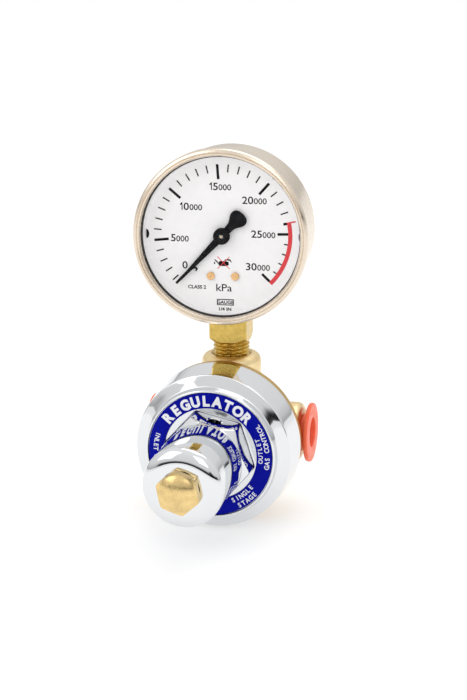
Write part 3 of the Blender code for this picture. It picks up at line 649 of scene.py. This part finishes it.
def make_body():
    low = (-RIM_RADIUS - MM, -RIM_RADIUS - MM, -MM)
    high = (RIM_RADIUS + MM, BODY_TOP + 2 * MM, RIM_FRONT + MM)
    cell = 0.6 * MM
    points, quads = surface_nets(forging, low, high, cell)
    points = onto_surface(points, forging)
    mesh = bpy.data.meshes.new("forged_body")
    mesh.from_pydata(points.tolist(), [], quads.tolist())
    mesh.transform(FORWARD)
    body = new_object("forged_body", mesh, FORGED)
    back = RIM_BACK + 0.3 * MM
    rim = rounded([
        (0, NECK_TOP), (NECK_RADIUS, NECK_TOP, 0.4), (NECK_RADIUS, RIM_FRONT),
        (RIM_RADIUS, RIM_FRONT, 0.3), (RIM_RADIUS, back, 0.5), (RIM_RADIUS - 2 * MM, back), (0, back),
    ])
    join(body, turned("rim", rim, FORGED, FORWARD, 240))
    top = NECK_TOP + MM
    wide, middle, narrow = 20.5 * MM, 7 * MM, 5.5 * MM
    seat, bottom = 22 * MM, 7 * MM
    chamber = [
        (0, top), (wide, top), (wide, CHAMBER_FLOOR), (middle, CHAMBER_FLOOR),
        (middle, seat), (narrow, seat), (narrow, bottom), (0, bottom),
    ]
    aside = shift(15.5 * MM, 0, 0) @ FORWARD
    cut(
        body,
        turned("chamber", chamber, FORGED, FORWARD, 96),
        rod("passage", 2 * MM, PORT_DEPTH, CHAMBER_FLOOR + MM, FORGED, aside, 32),
        port_cutter("inlet_hollow", PORT_FACE, PORT_RADIUS, 13 * MM, TO_LEFT),
        port_cutter("outlet_hollow", PORT_FACE, PORT_RADIUS, 13 * MM, TO_RIGHT, 12 * MM),
        port_cutter("gauge_hollow", BODY_TOP, GAUGE_PORT_RADIUS, 16.5 * MM, PORTS),
    )
    piece(body, "forged_brass", "body")


# The bonnet


def crown_outline():
    """The nose's front end: a shallow dome with a soft elliptical edge, from the screw hole outwards."""
    start = SCREW_HOLE + 0.25 * MM
    crown_radius = 7.0 * MM
    curve = 150 * MM
    outline = [(SCREW_HOLE, NOSE_TOP - SCREW_HOLE**2 / (2 * curve) - 0.25 * MM)]
    for i in range(5):
        radius = start + (crown_radius - SCREW_HOLE - 0.25 * MM) * i / 5
        outline.append((radius, NOSE_TOP - radius**2 / (2 * curve)))
    edge = NOSE_TOP - crown_radius**2 / (2 * curve)
    for i in range(17):
        angle = QUARTER * (1 - i / 16)
        radius = crown_radius + (NOSE_RADIUS - crown_radius) * cos(angle)
        outline.append((radius, NOSE_SHOULDER + (edge - NOSE_SHOULDER) * sin(angle)))
    return outline


def hexagon_rows(angles):
    """The chamfered hexagon and the nose's root, row by row from the nose down to the floor."""
    top = HEX_TOP + 1.9 * MM
    low = FLOOR + 0.02 * MM
    depths = np.concatenate([np.arange(top, HEX_TOP - 4.4 * MM, -0.13 * MM), np.linspace(50.9 * MM, low, 16)])
    depths = np.concatenate([depths, low + 0.5 * MM * (1 - np.sin(np.linspace(0, QUARTER, 5)))[1:]])
    depths = np.unique(np.round(depths, 7))[::-1]
    hexagon = polygon(angles, 6, HEX_CORNER, HEX_TURN, 0.5 * MM)
    fillet = 0.5 * MM
    rows = []
    for depth in depths:
        chamfer = HEX_CORNER + 0.5 * MM - (depth - (HEX_TOP - 3.8 * MM)) * 0.8
        share = (depth - HEX_TOP) / (NOSE_SHOULDER - HEX_TOP)
        nose = NOSE_BASE_RADIUS + (NOSE_RADIUS - NOSE_BASE_RADIUS) * share
        prism = soft_min(hexagon, chamfer, 0.7 * MM)
        rise = min(depth - FLOOR, fillet)
        foot = fillet - (fillet**2 - (fillet - rise) ** 2) ** 0.5
        rows.append(soft_max(prism, nose, 0.5 * MM) + foot)
    return np.array(rows), depths


def make_bonnet():
    angles = around(480)
    rows, depths = hexagon_rows(angles)
    upper = crown_outline()
    (nose_radius, nose_top), hex_radius = upper[-1], rows[0].mean()
    for i in range(1, 12):
        share = i / 12
        radius = nose_radius + (hex_radius - nose_radius) * share
        upper.append((radius, nose_top + (depths[0] - nose_top) * share))
    floor_rows = [rows[-1] + (LIP_RADIUS - 0.3 * MM - rows[-1]) * share for share in (0.1, 0.4, 0.8)]
    thread = NECK_RADIUS + 0.3 * MM
    ledge, clamp = 19.5 * MM, 37.3 * MM
    spring_bore, spring_top = 11.2 * MM, 73.0 * MM
    lower = rounded([
        (LIP_RADIUS - 0.2 * MM, FLOOR), (LIP_RADIUS, FLOOR, 0.12), (LIP_RADIUS, LIP_TOP, 0.22),
        (LIP_RADIUS + 0.75 * MM, LIP_TOP, 0.5), (LIP_RADIUS + 1.35 * MM, SKIRT_FRONT + 1.45 * MM, 0.45),
        (SKIRT_RADIUS - 1.2 * MM, SKIRT_FRONT, 0.55), (SKIRT_RADIUS, SKIRT_BACK, 0.35),
        (thread, SKIRT_BACK, 0.3), (thread, clamp), (ledge, clamp), (ledge, 39.5 * MM),
        (spring_bore, 41.5 * MM), (spring_bore, spring_top), (SCREW_HOLE, spring_top),
    ], ring=True, steps=7)
    skirt = []
    for (r1, h1), (r2, h2) in zip(lower, lower[1:]):
        count = max(1, int(np.hypot(r2 - r1, h2 - h1) / (1.6 * MM)))
        skirt += [(r1 + (r2 - r1) * i / count, h1 + (h2 - h1) * i / count) for i in range(count)]
    skirt.append(lower[-1])
    grid = np.vstack([
        turned_rows(upper, angles), rings(rows, depths, angles),
        rings(np.array(floor_rows), [FLOOR] * len(floor_rows), angles), turned_rows(skirt, angles),
    ])
    bonnet = skin("bonnet_shell", grid, CHROME, FORWARD, sharp=38)
    mouth, hole = 3.4 * MM, 2.5 * MM
    vent = [
        (0, 20 * MM), (mouth, 20 * MM), (mouth, 14.9 * MM), (hole, 14.1 * MM), (hole, 8 * MM), (0, 8 * MM),
    ]
    place = shift(0, -VENT_DEPTH, 0) @ Matrix.Rotation(-HEX_TURN, 4, "Y")
    cut(bonnet, turned("vent", vent, CHROME, place, 64), sharp=38)
    piece(bonnet, "chrome", "bonnet")


def ring_text(shape, text, height, radius, middle, pitch, bold, inward):
    """Letters one by one along an arc, their tops turned outwards or, if inward, to the middle."""
    turn = 1 if inward else -1
    for i, letter in enumerate(text):
        if letter == " ":
            continue
        angle = middle + turn * (i - (len(text) - 1) / 2) * pitch
        mesh, _ = letters(letter, height, 0.95, bold)
        x, y = radius * cos(angle), radius * sin(angle)
        stamp(shape, mesh, LABEL_FRONT - 0.02 * MM, LABEL_FRONT + 0.03 * MM, x, y, angle + turn * QUARTER)


def make_label():
    edge = 0.05
    outline = rounded([
        (LABEL_INNER, LABEL_FRONT, edge), (LABEL_OUTER, LABEL_FRONT, edge),
        (LABEL_OUTER, LABEL_BACK, edge), (LABEL_INNER, LABEL_BACK, edge),
    ], ring=True, steps=2)
    label = turned("label_foil", outline, BLUE, FORWARD, 240, ring=True)
    piece(label, "blue_label", "label_ring")
    shape = bmesh.new()
    for text, height, radius, middle, pitch, bold, inward in (
        ("REGULATOR", 3.7, 18.1, 93, 11.7, 0.055, False),
        ("INLET GAS", 1.75, 20.9, 178, 4.1, 0.02, True),
        ("GAS CONTROL", 1.75, 21.9, 12, 4.3, 0.02, True),
        ("OUTLET", 1.6, 19.4, 8, 4.8, 0.02, True),
        ("SINGLE", 1.75, 19.5, -50, 5.2, 0.02, True),
        ("STAGE", 1.75, 22.1, -50, 4.8, 0.02, True),
    ):
        ring_text(shape, text, height * MM, radius * MM, radians(middle), radians(pitch), bold, inward)
    shape.transform(FORWARD)
    lettering = mesh_of(shape, "label_lettering", WHITE_PRINT)
    piece(lettering, "blue_label")


def make_screw():
    """The adjusting screw: a hexagon head with a shallow turned dome, and its shank."""
    angles = around(240)
    hexagon = polygon(angles, 6, 7.94 * MM, radians(41.4), 0.3 * MM)
    dome = 12.5 * MM
    face = 6.6 * MM
    radii = np.linspace(0.4 * MM, face, 16)
    heights = SCREW_TOP - dome + (dome**2 - radii**2) ** 0.5
    base = heights[-1]
    grid = [rings(radii[:, None], heights, angles)]
    for i in range(1, 13):
        radii = np.minimum(face + 1.5 * MM * i / 12, hexagon)
        drop = base - (radii - face) * 0.3
        ring = np.stack([radii * np.cos(angles), radii * np.sin(angles), drop], axis=-1)
        grid.append(ring[None])
    seat = NOSE_TOP + 0.02 * MM
    under = rounded([
        (7.0 * MM, seat), (5.0 * MM, seat), (4.95 * MM, 71.2 * MM, 0.3),
        (4.3 * MM, 70.6 * MM, 0.3), (1.2 * MM, 69.6 * MM), (0, 68.9 * MM),
    ])
    grid.append(rings(hexagon[None], [NOSE_TOP + 0.3 * MM], angles))
    grid.append(rings(hexagon[None] - 0.25 * MM, [seat], angles))
    grid.append(turned_rows(under[:-1], angles))
    poles = [(0, 0, SCREW_TOP), (0, 0, under[-1][1])]
    screw = skin("hex_screw", np.vstack(grid), SCREW_BRASS, FORWARD, poles, sharp=28)
    piece(screw, "brass", "adjusting_screw", body="adjusting_screw")


# The port plugs


def make_plugs():
    flange, neck, recess, end = 29.3 * MM, 6.75 * MM, 19.6 * MM, 18.2 * MM
    plug = rounded([
        (0, recess), (5.0 * MM, recess, 0.5), (5.55 * MM, PLUG_FACE, 0.35),
        (BOSS_RADIUS, PLUG_FACE, 0.45), (BOSS_RADIUS, flange, 0.45), (neck, flange, 0.3),
        (neck, 27.6 * MM, 0.2), (6.3 * MM, 27.0 * MM, 0.2), (5.9 * MM, end, 0.5), (0, end),
    ])
    for side, place in (("inlet", TO_LEFT), ("outlet", TO_RIGHT)):
        obj = turned(f"{side}_port_plug", plug, ORANGE, place, 128)
        piece(obj, "orange_plastic", f"{side}_plug", body=f"{side}_plug")


# The gauge


def make_case():
    wall = 0.9 * MM
    inner = CASE_RADIUS - wall
    floor = CASE_BACK + wall
    dent = CASE_BACK + 0.35 * MM
    outline = rounded([
        (0, floor), (inner, floor, 3.6), (inner, CASE_FRONT, 0.2), (CASE_RADIUS, CASE_FRONT, 0.2),
        (CASE_RADIUS, CASE_BACK, 4.5), (23 * MM, CASE_BACK, 0.6), (22.6 * MM, dent, 0.6), (0, dent),
    ], steps=12)
    case = turned("case_shell", outline, CASE_PLATING, GAUGE, 240)
    wide = 2 * (SHANK_HALF + 0.4 * MM)
    shape = bmesh.new()
    bmesh.ops.create_cube(shape, size=1.0)
    shape.transform(shift(0, 0, -28 * MM) @ Matrix.Diagonal((wide, wide, 16 * MM, 1)))
    shape.transform(GAUGE_UP)
    opening = mesh_of(shape, "socket_slot", CASE_PLATING)
    blowout = GAUGE @ shift(0, 14 * MM, 0)
    cut(case, opening, rod("blowout_hole", 5 * MM, -12 * MM, -6 * MM, CASE_PLATING, blowout, 64))
    piece(case, "champagne_plating", "gauge_case")


def make_bezel():
    inner = CASE_RADIUS + 0.3 * MM
    ledge, ledge_radius = 19.0 * MM, 29.9 * MM
    outline = rounded([
        (inner, BEZEL_BACK, 0.1), (inner, ledge, 0.3), (ledge_radius, ledge, 0.2),
        (ledge_radius, LIP_BACK, 0.15), (BEZEL_LIP, LIP_BACK, 0.15),
        (BEZEL_LIP, BEZEL_FRONT - 0.9 * MM, 0.3), (BEZEL_LIP + 0.5 * MM, BEZEL_FRONT - 0.15 * MM, 0.4),
        (BEZEL_LIP + 0.95 * MM, BEZEL_FRONT - 0.1 * MM, 0.2),
        (BEZEL_LIP + 1.2 * MM, BEZEL_FRONT - 0.5 * MM, 0.1), (BEZEL_LIP + 1.45 * MM, BEZEL_FRONT, 0.2),
        (BEZEL_RADIUS - 0.35 * MM, BEZEL_FRONT - 0.5 * MM, 0.6),
        (BEZEL_RADIUS, BEZEL_FRONT - 1.3 * MM, 0.5), (BEZEL_RADIUS, BEZEL_BACK, 0.3),
    ], ring=True, steps=7)[::-1]
    bezel = turned("bezel_ring", outline, CHAMPAGNE, GAUGE, 320, ring=True)
    inside, outside = 28.3 * MM, 30.1 * MM
    front, back = LIP_BACK - 0.1 * MM, DIAL_RIM + 0.1 * MM
    gasket = rounded([
        (inside, front, 0.2), (outside, front, 0.1), (outside, back, 0.1), (inside, back, 0.2),
    ], ring=True)
    seal = turned("window_seal", gasket, RUBBER, GAUGE, ring=True)
    piece(seal, "rubber", "window_gasket")
    crimps = []
    for i, (middle, half) in enumerate(((2, 10), (67, 13), (139, 11), (211, 11), (283, 11))):
        shape = bmesh.new()
        angles = [radians(middle + half * (step / 6 - 1)) for step in range(13)]
        stations = [[dial_point(BEZEL_RADIUS + r, angle) for r in (-0.55 * MM, MM)] for angle in angles]
        ribbon(shape, stations, BEZEL_BACK - 0.5 * MM, BEZEL_BACK + 0.45 * MM, GAUGE)
        crimps.append(mesh_of(shape, f"crimp_{i}", CHAMPAGNE))
    cut(bezel, *crimps)
    piece(bezel, "champagne_plating", "gauge_bezel")
    pane, front, back = BEZEL_LIP - 0.05 * MM, 18.6 * MM, LIP_BACK + 0.1 * MM
    outline = rounded([(0, front), (pane, front, 0.1), (pane, back, 0.1), (0, back)])
    window = turned("window_pane", outline, GLASS, GAUGE)
    piece(window, "clear_window", "gauge_window")


def dial_point(radius, angle):
    """A point at an angle clockwise from the top."""
    return (radius * sin(angle), radius * cos(angle))


def scale_point(radius, angle):
    """The same, about the centre of the printed scale, which sits slightly high."""
    return (radius * sin(angle), radius * cos(angle) + DIAL_CENTRE)


def scale_angle(value):
    """The angle of a number of thousands on the dial. The zero mark stands under the resting pointer."""
    if value == 0:
        return ZERO_ANGLE
    return SCALE_START + SCALE_SPAN * value / SCALE_TOP


def printed(shape, stations, raised=0.0):
    """Adds a thin strip of print on the dial's face."""
    ribbon(shape, stations, PRINT_BASE, PRINT_TOP + raised, GAUGE)


def from_mm(stations):
    """Stations for a ribbon, from rows of x, y, x and y in millimetres."""
    return [((a * MM, b * MM), (c * MM, d * MM)) for a, b, c, d in stations]


def tick(shape, angle, inner, outer, half):
    across = Vector((cos(angle), -sin(angle))) * half
    start = Vector(scale_point(inner, angle))
    end = Vector(scale_point(outer, angle))
    printed(shape, [(start - across, start + across), (end - across, end + across)])


def dial_arc(shape, start, end, inner, outer, steps):
    angles = [start + (end - start) * i / steps for i in range(steps + 1)]
    stations = [(scale_point(inner, angle), scale_point(outer, angle)) for angle in angles]
    printed(shape, stations, 0.01 * MM)


def numeral(shape, big, small, x, y):
    """A number of thousands in large figures, with its noughts smaller on the same line."""
    one = big[0] == "1"
    parts = [letters(big[1:] if one else big, 2.7 * MM, 1.12, 0.012)]
    gap = 0.22 * MM
    one_width = 1.35 * MM
    foot = y - 1.33 * MM
    if small:
        parts.append(letters(small, 2.15 * MM, 1.06, 0.01))
    width = sum(w for _, w in parts) + gap * (len(parts) - 1) + (one_width if one else 0)
    left = x - width / 2
    if one:
        stem, flag, top = (0.6, 0.0, 0.94, 0.0), (0, 1.75, 0.94, 2.1), (0.68, 2.7, 0.94, 2.7)
        figure = from_mm((stem, (0.6, 1.85, 0.94, 1.85), flag, (0, 2.05, 0.94, 2.4), top))
        stations = [[(left + across, foot + up) for across, up in station] for station in figure]
        printed(shape, stations)
        left += one_width
    for mesh, wide in parts:
        stamp(shape, mesh, PRINT_BASE, PRINT_TOP, left + wide / 2, foot, base=GAUGE)
        left += wide + gap


def make_dial():
    back = DIAL_FRONT - 0.5 * MM
    plate = rounded([
        (0, DIAL_FRONT), (DIAL_WALL, DIAL_FRONT, 0.25), (DIAL_WALL + 0.05 * MM, DIAL_RIM, 0.08),
        (DIAL_RADIUS, DIAL_RIM, 0.08), (DIAL_RADIUS, back, 0.3), (0, back),
    ])
    dial = turned("dial_face", plate, DIAL_WHITE, GAUGE)
    pin = dial_point(16 * MM, ZERO_ANGLE - radians(4.6))
    screw_x, screw_y = DIAL_SCREW
    screw_hole = 1.15 * MM
    holes = []
    for i, (x, y, radius) in enumerate(
        [(0, 0, 1.2 * MM), (-screw_x, screw_y, screw_hole), (screw_x, screw_y, screw_hole), (*pin, 0.8 * MM)]
    ):
        place = GAUGE @ shift(x, y, 0)
        holes.append(rod(f"dial_hole_{i}", radius, 12 * MM, 15 * MM, DIAL_WHITE, place, 32))
    cut(dial, *holes)
    piece(dial, "dial_white", "dial")
    black = bmesh.new()
    for value in range(SCALE_TOP + 1):
        major = value % 5 == 0
        outer = TICK_OUTER if value < RED_START else RED_INNER
        inner = TICK_MAJOR if major else TICK_MINOR
        tick(black, scale_angle(value), inner, outer, (0.47 if major or value == RED_START else 0.24) * MM)
    for big, small, x, y in (
        ("5", "000", -15.6, -1.2),
        ("10", "000", -11.3, 10.2),
        ("15", "000", -0.6, 17.5),
        ("20", "000", 11.6, 12.8),
        ("25", "000", 14.7, 0.8),
        ("30", "000", 12.7, -11.0),
        ("0", "", -13.9, -11.0),
    ):
        numeral(black, big, small, x * MM, y * MM)
    for oil_can in (
        [(-1.6, -10.7, -9.9), (-1.2, -11.1, -9.3), (1.2, -11.1, -9.3), (2.1, -10.7, -9.6)],
        [(-3.0, -9.1, -8.6), (-2.2, -9.8, -9.2), (-1.65, -10.5, -9.9)],
        [(0.6, -9.25, -8.8), (1.6, -9.0, -8.5), (2.6, -9.2, -8.6), (3.1, -9.9, -9.2)],
        [(-3.3, -10.3, -9.9), (-3.1, -10.5, -9.6), (-2.8, -10.3, -9.9)],
    ):
        printed(black, from_mm((x, low, x, high) for x, low, high in oil_can))
    # Two half-round notches at the dial's edge, printed flat black: painted shade standing in for the shaded
    # hollow of each notch, deeper on the left.
    edge = DIAL_WALL - 0.1 * MM
    for side, deep in ((-1, 1.15), (1, 0.7)):
        notch = []
        for i in range(17):
            share = i / 8 - 1
            y = 1.75 * MM * share * 0.999
            x = (edge**2 - y**2) ** 0.5
            reach = deep * MM * (1 - share**2 * 0.998) ** 0.5
            notch.append(((side * (x - reach), y), (side * x, y)))
        printed(black, notch)
    frame_low = -25.5 * MM
    for x1, x2, y1, y2 in (
        (-2.4, 3.8, 0, 0.32),
        (-2.4, 3.8, 1.98, 2.3),
        (-2.4, -2.08, 0.32, 1.98),
        (3.48, 3.8, 0.32, 1.98),
    ):
        printed(black, [((x * MM, frame_low + y1 * MM), (x * MM, frame_low + y2 * MM)) for x in (x1, x2)])
    for text, height, squeeze, bold, x, y in (
        ("kPa", 2.75, 1.12, 0.006, 0.3, -20.3),
        ("GAUGE", 1.2, 1.1, 0.03, 0.7, -24.95),
        ("1/4 IN", 1.2, 1.15, 0.03, 0.6, -27.45),
        ("CLASS 2", 1.3, 1.05, 0.03, -9.6, -19.6),
    ):
        mesh, _ = letters(text, height * MM, squeeze, bold)
        stamp(black, mesh, PRINT_BASE, PRINT_TOP, x * MM, y * MM, base=GAUGE)
    piece(mesh_of(black, "dial_print", BLACK_PAINT), "black_paint")
    red = bmesh.new()
    start, end = scale_angle(RED_START) - radians(1.0), scale_angle(SCALE_TOP) + radians(0.9)
    dial_arc(red, start, end, RED_INNER, RED_OUTER, 40)
    dial_arc(red, start, start + radians(1.1), RED_OUTER, 26.8 * MM, 3)
    middle = Vector((0.2 * MM, -9.9 * MM))
    for lean in (-1, 1):
        reach = Vector((2.2 * MM, 2.2 * MM * lean))
        across = Vector((-lean, 1)).normalized() * 0.12 * MM
        stations = [(at - across, at + across) for at in (middle - reach, middle + reach)]
        printed(red, stations, 0.02 * MM)
    piece(mesh_of(red, "dial_red_print", RED_PRINT), "dial_white")


def make_dial_screws():
    """Small brass cheese heads with a driver slot."""
    top, seat, end = 14.45 * MM, 13.9 * MM, 10.9 * MM
    head, shank = 1.45 * MM, 0.8 * MM
    outline = rounded(
        [(0, top), (head, top, 0.3), (head, seat), (shank, seat), (shank, end, 0.1), (0, end)]
    )
    slot = from_mm(((-2, -0.23, -2, 0.23), (2, -0.23, 2, 0.23)))
    x, y = DIAL_SCREW
    for side, sign, turn in (("left", -1, 0.4), ("right", 1, 0.9)):
        place = GAUGE @ shift(sign * x, y, 0) @ Matrix.Rotation(turn, 4, "Z")
        screw = turned(f"dial_screw_head_{side}", outline, DIAL_BRASS, place, 48)
        shape = bmesh.new()
        ribbon(shape, slot, 14.1 * MM, 15 * MM, place)
        cut(screw, mesh_of(shape, "driver_slot", DIAL_BRASS))
        piece(screw, "brass", f"dial_screw_{side}")


def make_pointer():
    """The blade with its fan-shaped tail, cut from sheet, and the hub with the arbor's end in its middle."""
    low, high = 14.6 * MM, 15.15 * MM
    place = GAUGE @ Matrix.Rotation(-ZERO_ANGLE, 4, "Z")
    tip = 23.6
    tail = ((11.1, 0.3), (11.05, 0.9), (10.9, 1.6), (10.6, 2.25), (10.15, 2.8), (9.6, 3.1), (9.0, 3.22))
    waist = ((8.4, 3.2), (7.8, 3.05), (7.2, 2.75), (6.6, 2.35), (6.0, 1.98), (5.4, 1.68), (4.8, 1.5))
    neck = ((4.0, 1.4), (3.0, 1.36))
    needle = ((-2.9, 1.3), (1.5 - tip, 0.42), (-tip, 0.34))
    shape = bmesh.new()
    stations = from_mm((-half, -back, half, -back) for back, half in (*tail, *waist, *neck, *needle))
    ribbon(shape, stations, low, high, place)
    blade = mesh_of(shape, "pointer_blade", BLACK_PAINT)
    hub, top, bottom = 2.95 * MM, 16.4 * MM, 14.45 * MM
    outline = rounded([(0, top), (hub, top, 0.3), (hub, bottom, 0.2), (0, bottom)])
    join(blade, turned("hub", outline, BLACK_PAINT, place, 64))
    mouth, shoulder, end = 18 * MM, 16.1 * MM, 13 * MM
    narrow, wide = 0.42 * MM, 1.0 * MM
    bore = [(0, mouth), (narrow, mouth), (narrow, shoulder), (wide, shoulder), (wide, end), (0, end)]
    cut(blade, turned("hub_bore", bore, BLACK_PAINT, place, 32))
    piece(blade, "black_paint", "pointer", body="pointer")
    stub = rounded([(0, 16.5 * MM), (0.36 * MM, 16.5 * MM, 0.1), (0.36 * MM, 15.9 * MM), (0, 15.9 * MM)])
    piece(turned("arbor_end", stub, BRASS, GAUGE, 24), "brass", body="pointer")


def make_socket():
    """The stem: a square shank with turned lower corners, and a tapered thread cut as a real helix."""
    angles = around(192)
    square = polygon(angles, 4, SHANK_HALF / cos(pi / 4), pi / 4, 0.5 * MM)
    layers = []
    sides, corners = np.linspace(-30 * MM, -37 * MM, 4), np.linspace(-37.6 * MM, SHANK_BOTTOM, 24)
    for height in [BLOCK_TOP, BLOCK_TOP - 0.3 * MM, *sides, *corners]:
        edge = 0.3 * MM if height == BLOCK_TOP else 0
        cone = (7.75 + (height - SHANK_BOTTOM) / MM * 1.35) * MM
        layers.append((height, soft_min(square - edge, max(cone, 0), 0.3 * MM)))
    pitch, deep = 1.411 * MM, 0.95 * MM
    start, end = SHANK_BOTTOM - 0.05 * MM, THREAD_BOTTOM
    for height in np.arange(start, end, -pitch / 12):
        phase = (height / pitch - angles / TAU) % 1.0
        ridge = np.clip((1 - np.abs(2 * phase - 1)) * 1.5 - 0.25, 0, 1)
        root = 6.85 * MM - (start - height) / 32 - deep
        fade = min(1, (height - end) / (0.9 * MM)) * min(1, (start - height) / (1.2 * MM))
        layers.append((height, root + deep * ridge * max(fade, 0)))
    bore, narrow = 2.1 * MM, -50 * MM
    bore_end = BLOCK_TOP - 4 * MM
    for radius, height in ((5.3 * MM, end), (bore, end), (bore, narrow), (MM, narrow), (MM, bore_end)):
        layers.append((height, np.full_like(angles, radius)))
    heights, rows = zip(*layers)
    grid = rings(np.array(rows), heights, angles)
    poles = [(0, 0, BLOCK_TOP), (0, 0, bore_end)]
    socket = skin("threaded_socket", grid, STEM_BRASS, GAUGE_UP, poles, sharp=40)
    holes = []
    for side in (-1, 1):
        place = GAUGE @ shift(side * 5 * MM, -25 * MM, 0)
        holes.append(rod(f"socket_hole_{side}", 1.15 * MM, 4.2 * MM, 8 * MM, STEM_BRASS, place, 24))
    cut(socket, *holes, sharp=40)
    piece(socket, "brass", "gauge_socket")


def finish_inner_pieces():
    """Gives the works inside, which keep their CAD solids, their materials and a smooth shade."""
    finishes = {
        BRASS: "slip_ring diaphragm_plate nozzle valve_poppet bourdon_tube tube_tip link sector_gear "
        "restrictor_screw movement_front_plate movement_back_plate "
        "movement_pillar_left movement_pillar_right",
        STEEL: "main_spring upper_spring_button valve_spring filter_retainer pinion_arbor hairspring "
        "movement_screw_left movement_screw_right zero_stop_pin",
        RUBBER: "diaphragm nozzle_seal blowout_plug",
        POLYMER: "seat_disc",
        BRONZE: "inlet_filter",
    }
    for material, names in finishes.items():
        for name in names.split():
            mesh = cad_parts[name].data
            mesh.materials.clear()
            mesh.materials.append(material)
            shade(mesh, 30)


# Stage, light and camera


def make_stage():
    low = CAD_BOX[0].z - 0.2 * MM
    mesh = bpy.data.meshes.new("floor")
    far = 60.0
    corners = [(-far, -far, low), (far, -far, low), (far, far, low), (-far, far, low)]
    mesh.from_pydata(corners, [], [(0, 1, 2, 3)])
    material = new_material("floor", (0.6, 0.6, 0.6), 0.6)
    drive(material, "Roughness", patches(material, 3, 3, 0.55, 0.7))
    drive(material, "Specular IOR Level", 0)
    drive(material, "Emission Color", (1, 1, 1, 1))
    drive(material, "Emission Strength", 0.45)
    new_object("floor", mesh, material)


def softbox(name, azimuth, elevation, size, radiance, tall):
    """A soft panel that faces the object. Azimuth turns from the front towards the outlet's side."""
    distance = 1.1
    light = bpy.data.lights.new(name, "AREA")
    light.shape = "RECTANGLE"
    light.size = size
    light.size_y = tall
    light.energy = radiance * pi * size * tall
    obj = linked(name, light)
    target = Vector((0, -0.03, 0.04))
    place = sky_direction(azimuth, elevation) * distance
    obj.location = target + place
    obj.rotation_euler = (-place).to_track_quat("-Z", "Y").to_euler()


def sky_direction(azimuth, elevation):
    a, e = radians(azimuth), radians(elevation)
    return Vector((sin(a) * cos(e), -cos(a) * cos(e), sin(e)))


def smooth_mask(tree, place, direction, outer, inner):
    """A value that is 1 within inner degrees of a direction and 0 beyond outer degrees."""
    dot = new_node(tree, "VectorMath", place, direction, operation="DOT_PRODUCT").outputs["Value"]
    limits = (cos(radians(outer)), cos(radians(inner)))
    return new_node(tree, "MapRange", dot, *limits, interpolation_type="SMOOTHSTEP").outputs[0]


def darkened(tree, light, masks, level):
    """The light, down to a level where all the masks are 1."""
    share = masks[0]
    for mask in masks[1:]:
        share = calculate(tree, "MULTIPLY", share, mask)
    keep = new_node(tree, "MapRange", share, 0, 1, 1, level).outputs[0]
    dim = new_node(tree, "VectorMath", light, operation="SCALE")
    tree.links.new(keep, dim.inputs["Scale"])
    return dim.outputs[0]


def make_light():
    """Three panels, and a white studio with a dark strip in front and two small dark flags for the chrome."""
    softbox("right_panel", 24, 32, 0.45, 1.25, 0.5)
    softbox("left_panel", -42, 34, 0.6, 1.3, 0.7)
    softbox("top_panel", 150, 70, 0.9, 1.2, 0.9)
    world = bpy.data.worlds.new("studio")
    world.use_nodes = True
    bpy.context.scene.world = world
    tree = world.node_tree
    place = new_node(tree, "TexCoord").outputs["Generated"]
    height = new_node(tree, "SeparateXYZ", place).outputs["Z"]
    ramp = new_node(tree, "ValToRGB", height)
    stops = ramp.color_ramp.elements
    stops[0].color = (1, 1, 1, 1)
    for position, level in ((0.022, 1.0), (0.034, 0.45), (0.1, 0.66), (0.2, 0.82), (0.45, 0.88)):
        stops.new(position).color = (level, level, level, 1)
    light = ramp.outputs["Color"]
    up = sky_direction(0, 90)
    raised = smooth_mask(tree, place, up, 88.8, 88.2)
    ahead = smooth_mask(tree, place, sky_direction(12, 0), 62, 50)
    strip = (smooth_mask(tree, place, up, 80, 85), ahead, raised)
    corner_flag = (smooth_mask(tree, place, sky_direction(34, 4), 10, 6), raised)
    upper_flag = (smooth_mask(tree, place, sky_direction(16, 27), 5, 3),)
    for masks, level in ((strip, 0.04), (corner_flag, 0.16), (upper_flag, 0.1)):
        light = darkened(tree, light, masks, level)
    tree.links.new(light, tree.nodes["Background"].inputs["Color"])


def make_camera():
    yaw, pitch, roll = radians(-14.6), radians(-15.13), radians(-0.67)
    ahead = Vector((sin(yaw) * cos(pitch), cos(yaw) * cos(pitch), sin(pitch)))
    level = ahead.cross(Vector((0, 0, 1))).normalized()
    above = level.cross(ahead)
    right = level * cos(roll) + above * sin(roll)
    up = above * cos(roll) - level * sin(roll)
    camera = linked("camera", bpy.data.cameras.new("camera"))
    turn = Matrix((right, up, -ahead)).transposed().to_4x4()
    camera.matrix_world = shift(129.9 * MM, -508.8 * MM, 168.6 * MM) @ turn
    camera.data.lens = 73.27
    camera.data.sensor_width = 36
    camera.data.clip_start = 0.01
    camera.data.clip_end = 50
    bpy.context.scene.camera = camera
    bpy.context.scene.view_settings.view_transform = "Standard"


make_camera()
make_body()
make_bonnet()
make_label()
make_screw()
make_plugs()
make_case()
make_bezel()
make_dial()
make_dial_screws()
make_pointer()
make_socket()
finish_inner_pieces()
make_stage()
make_light()
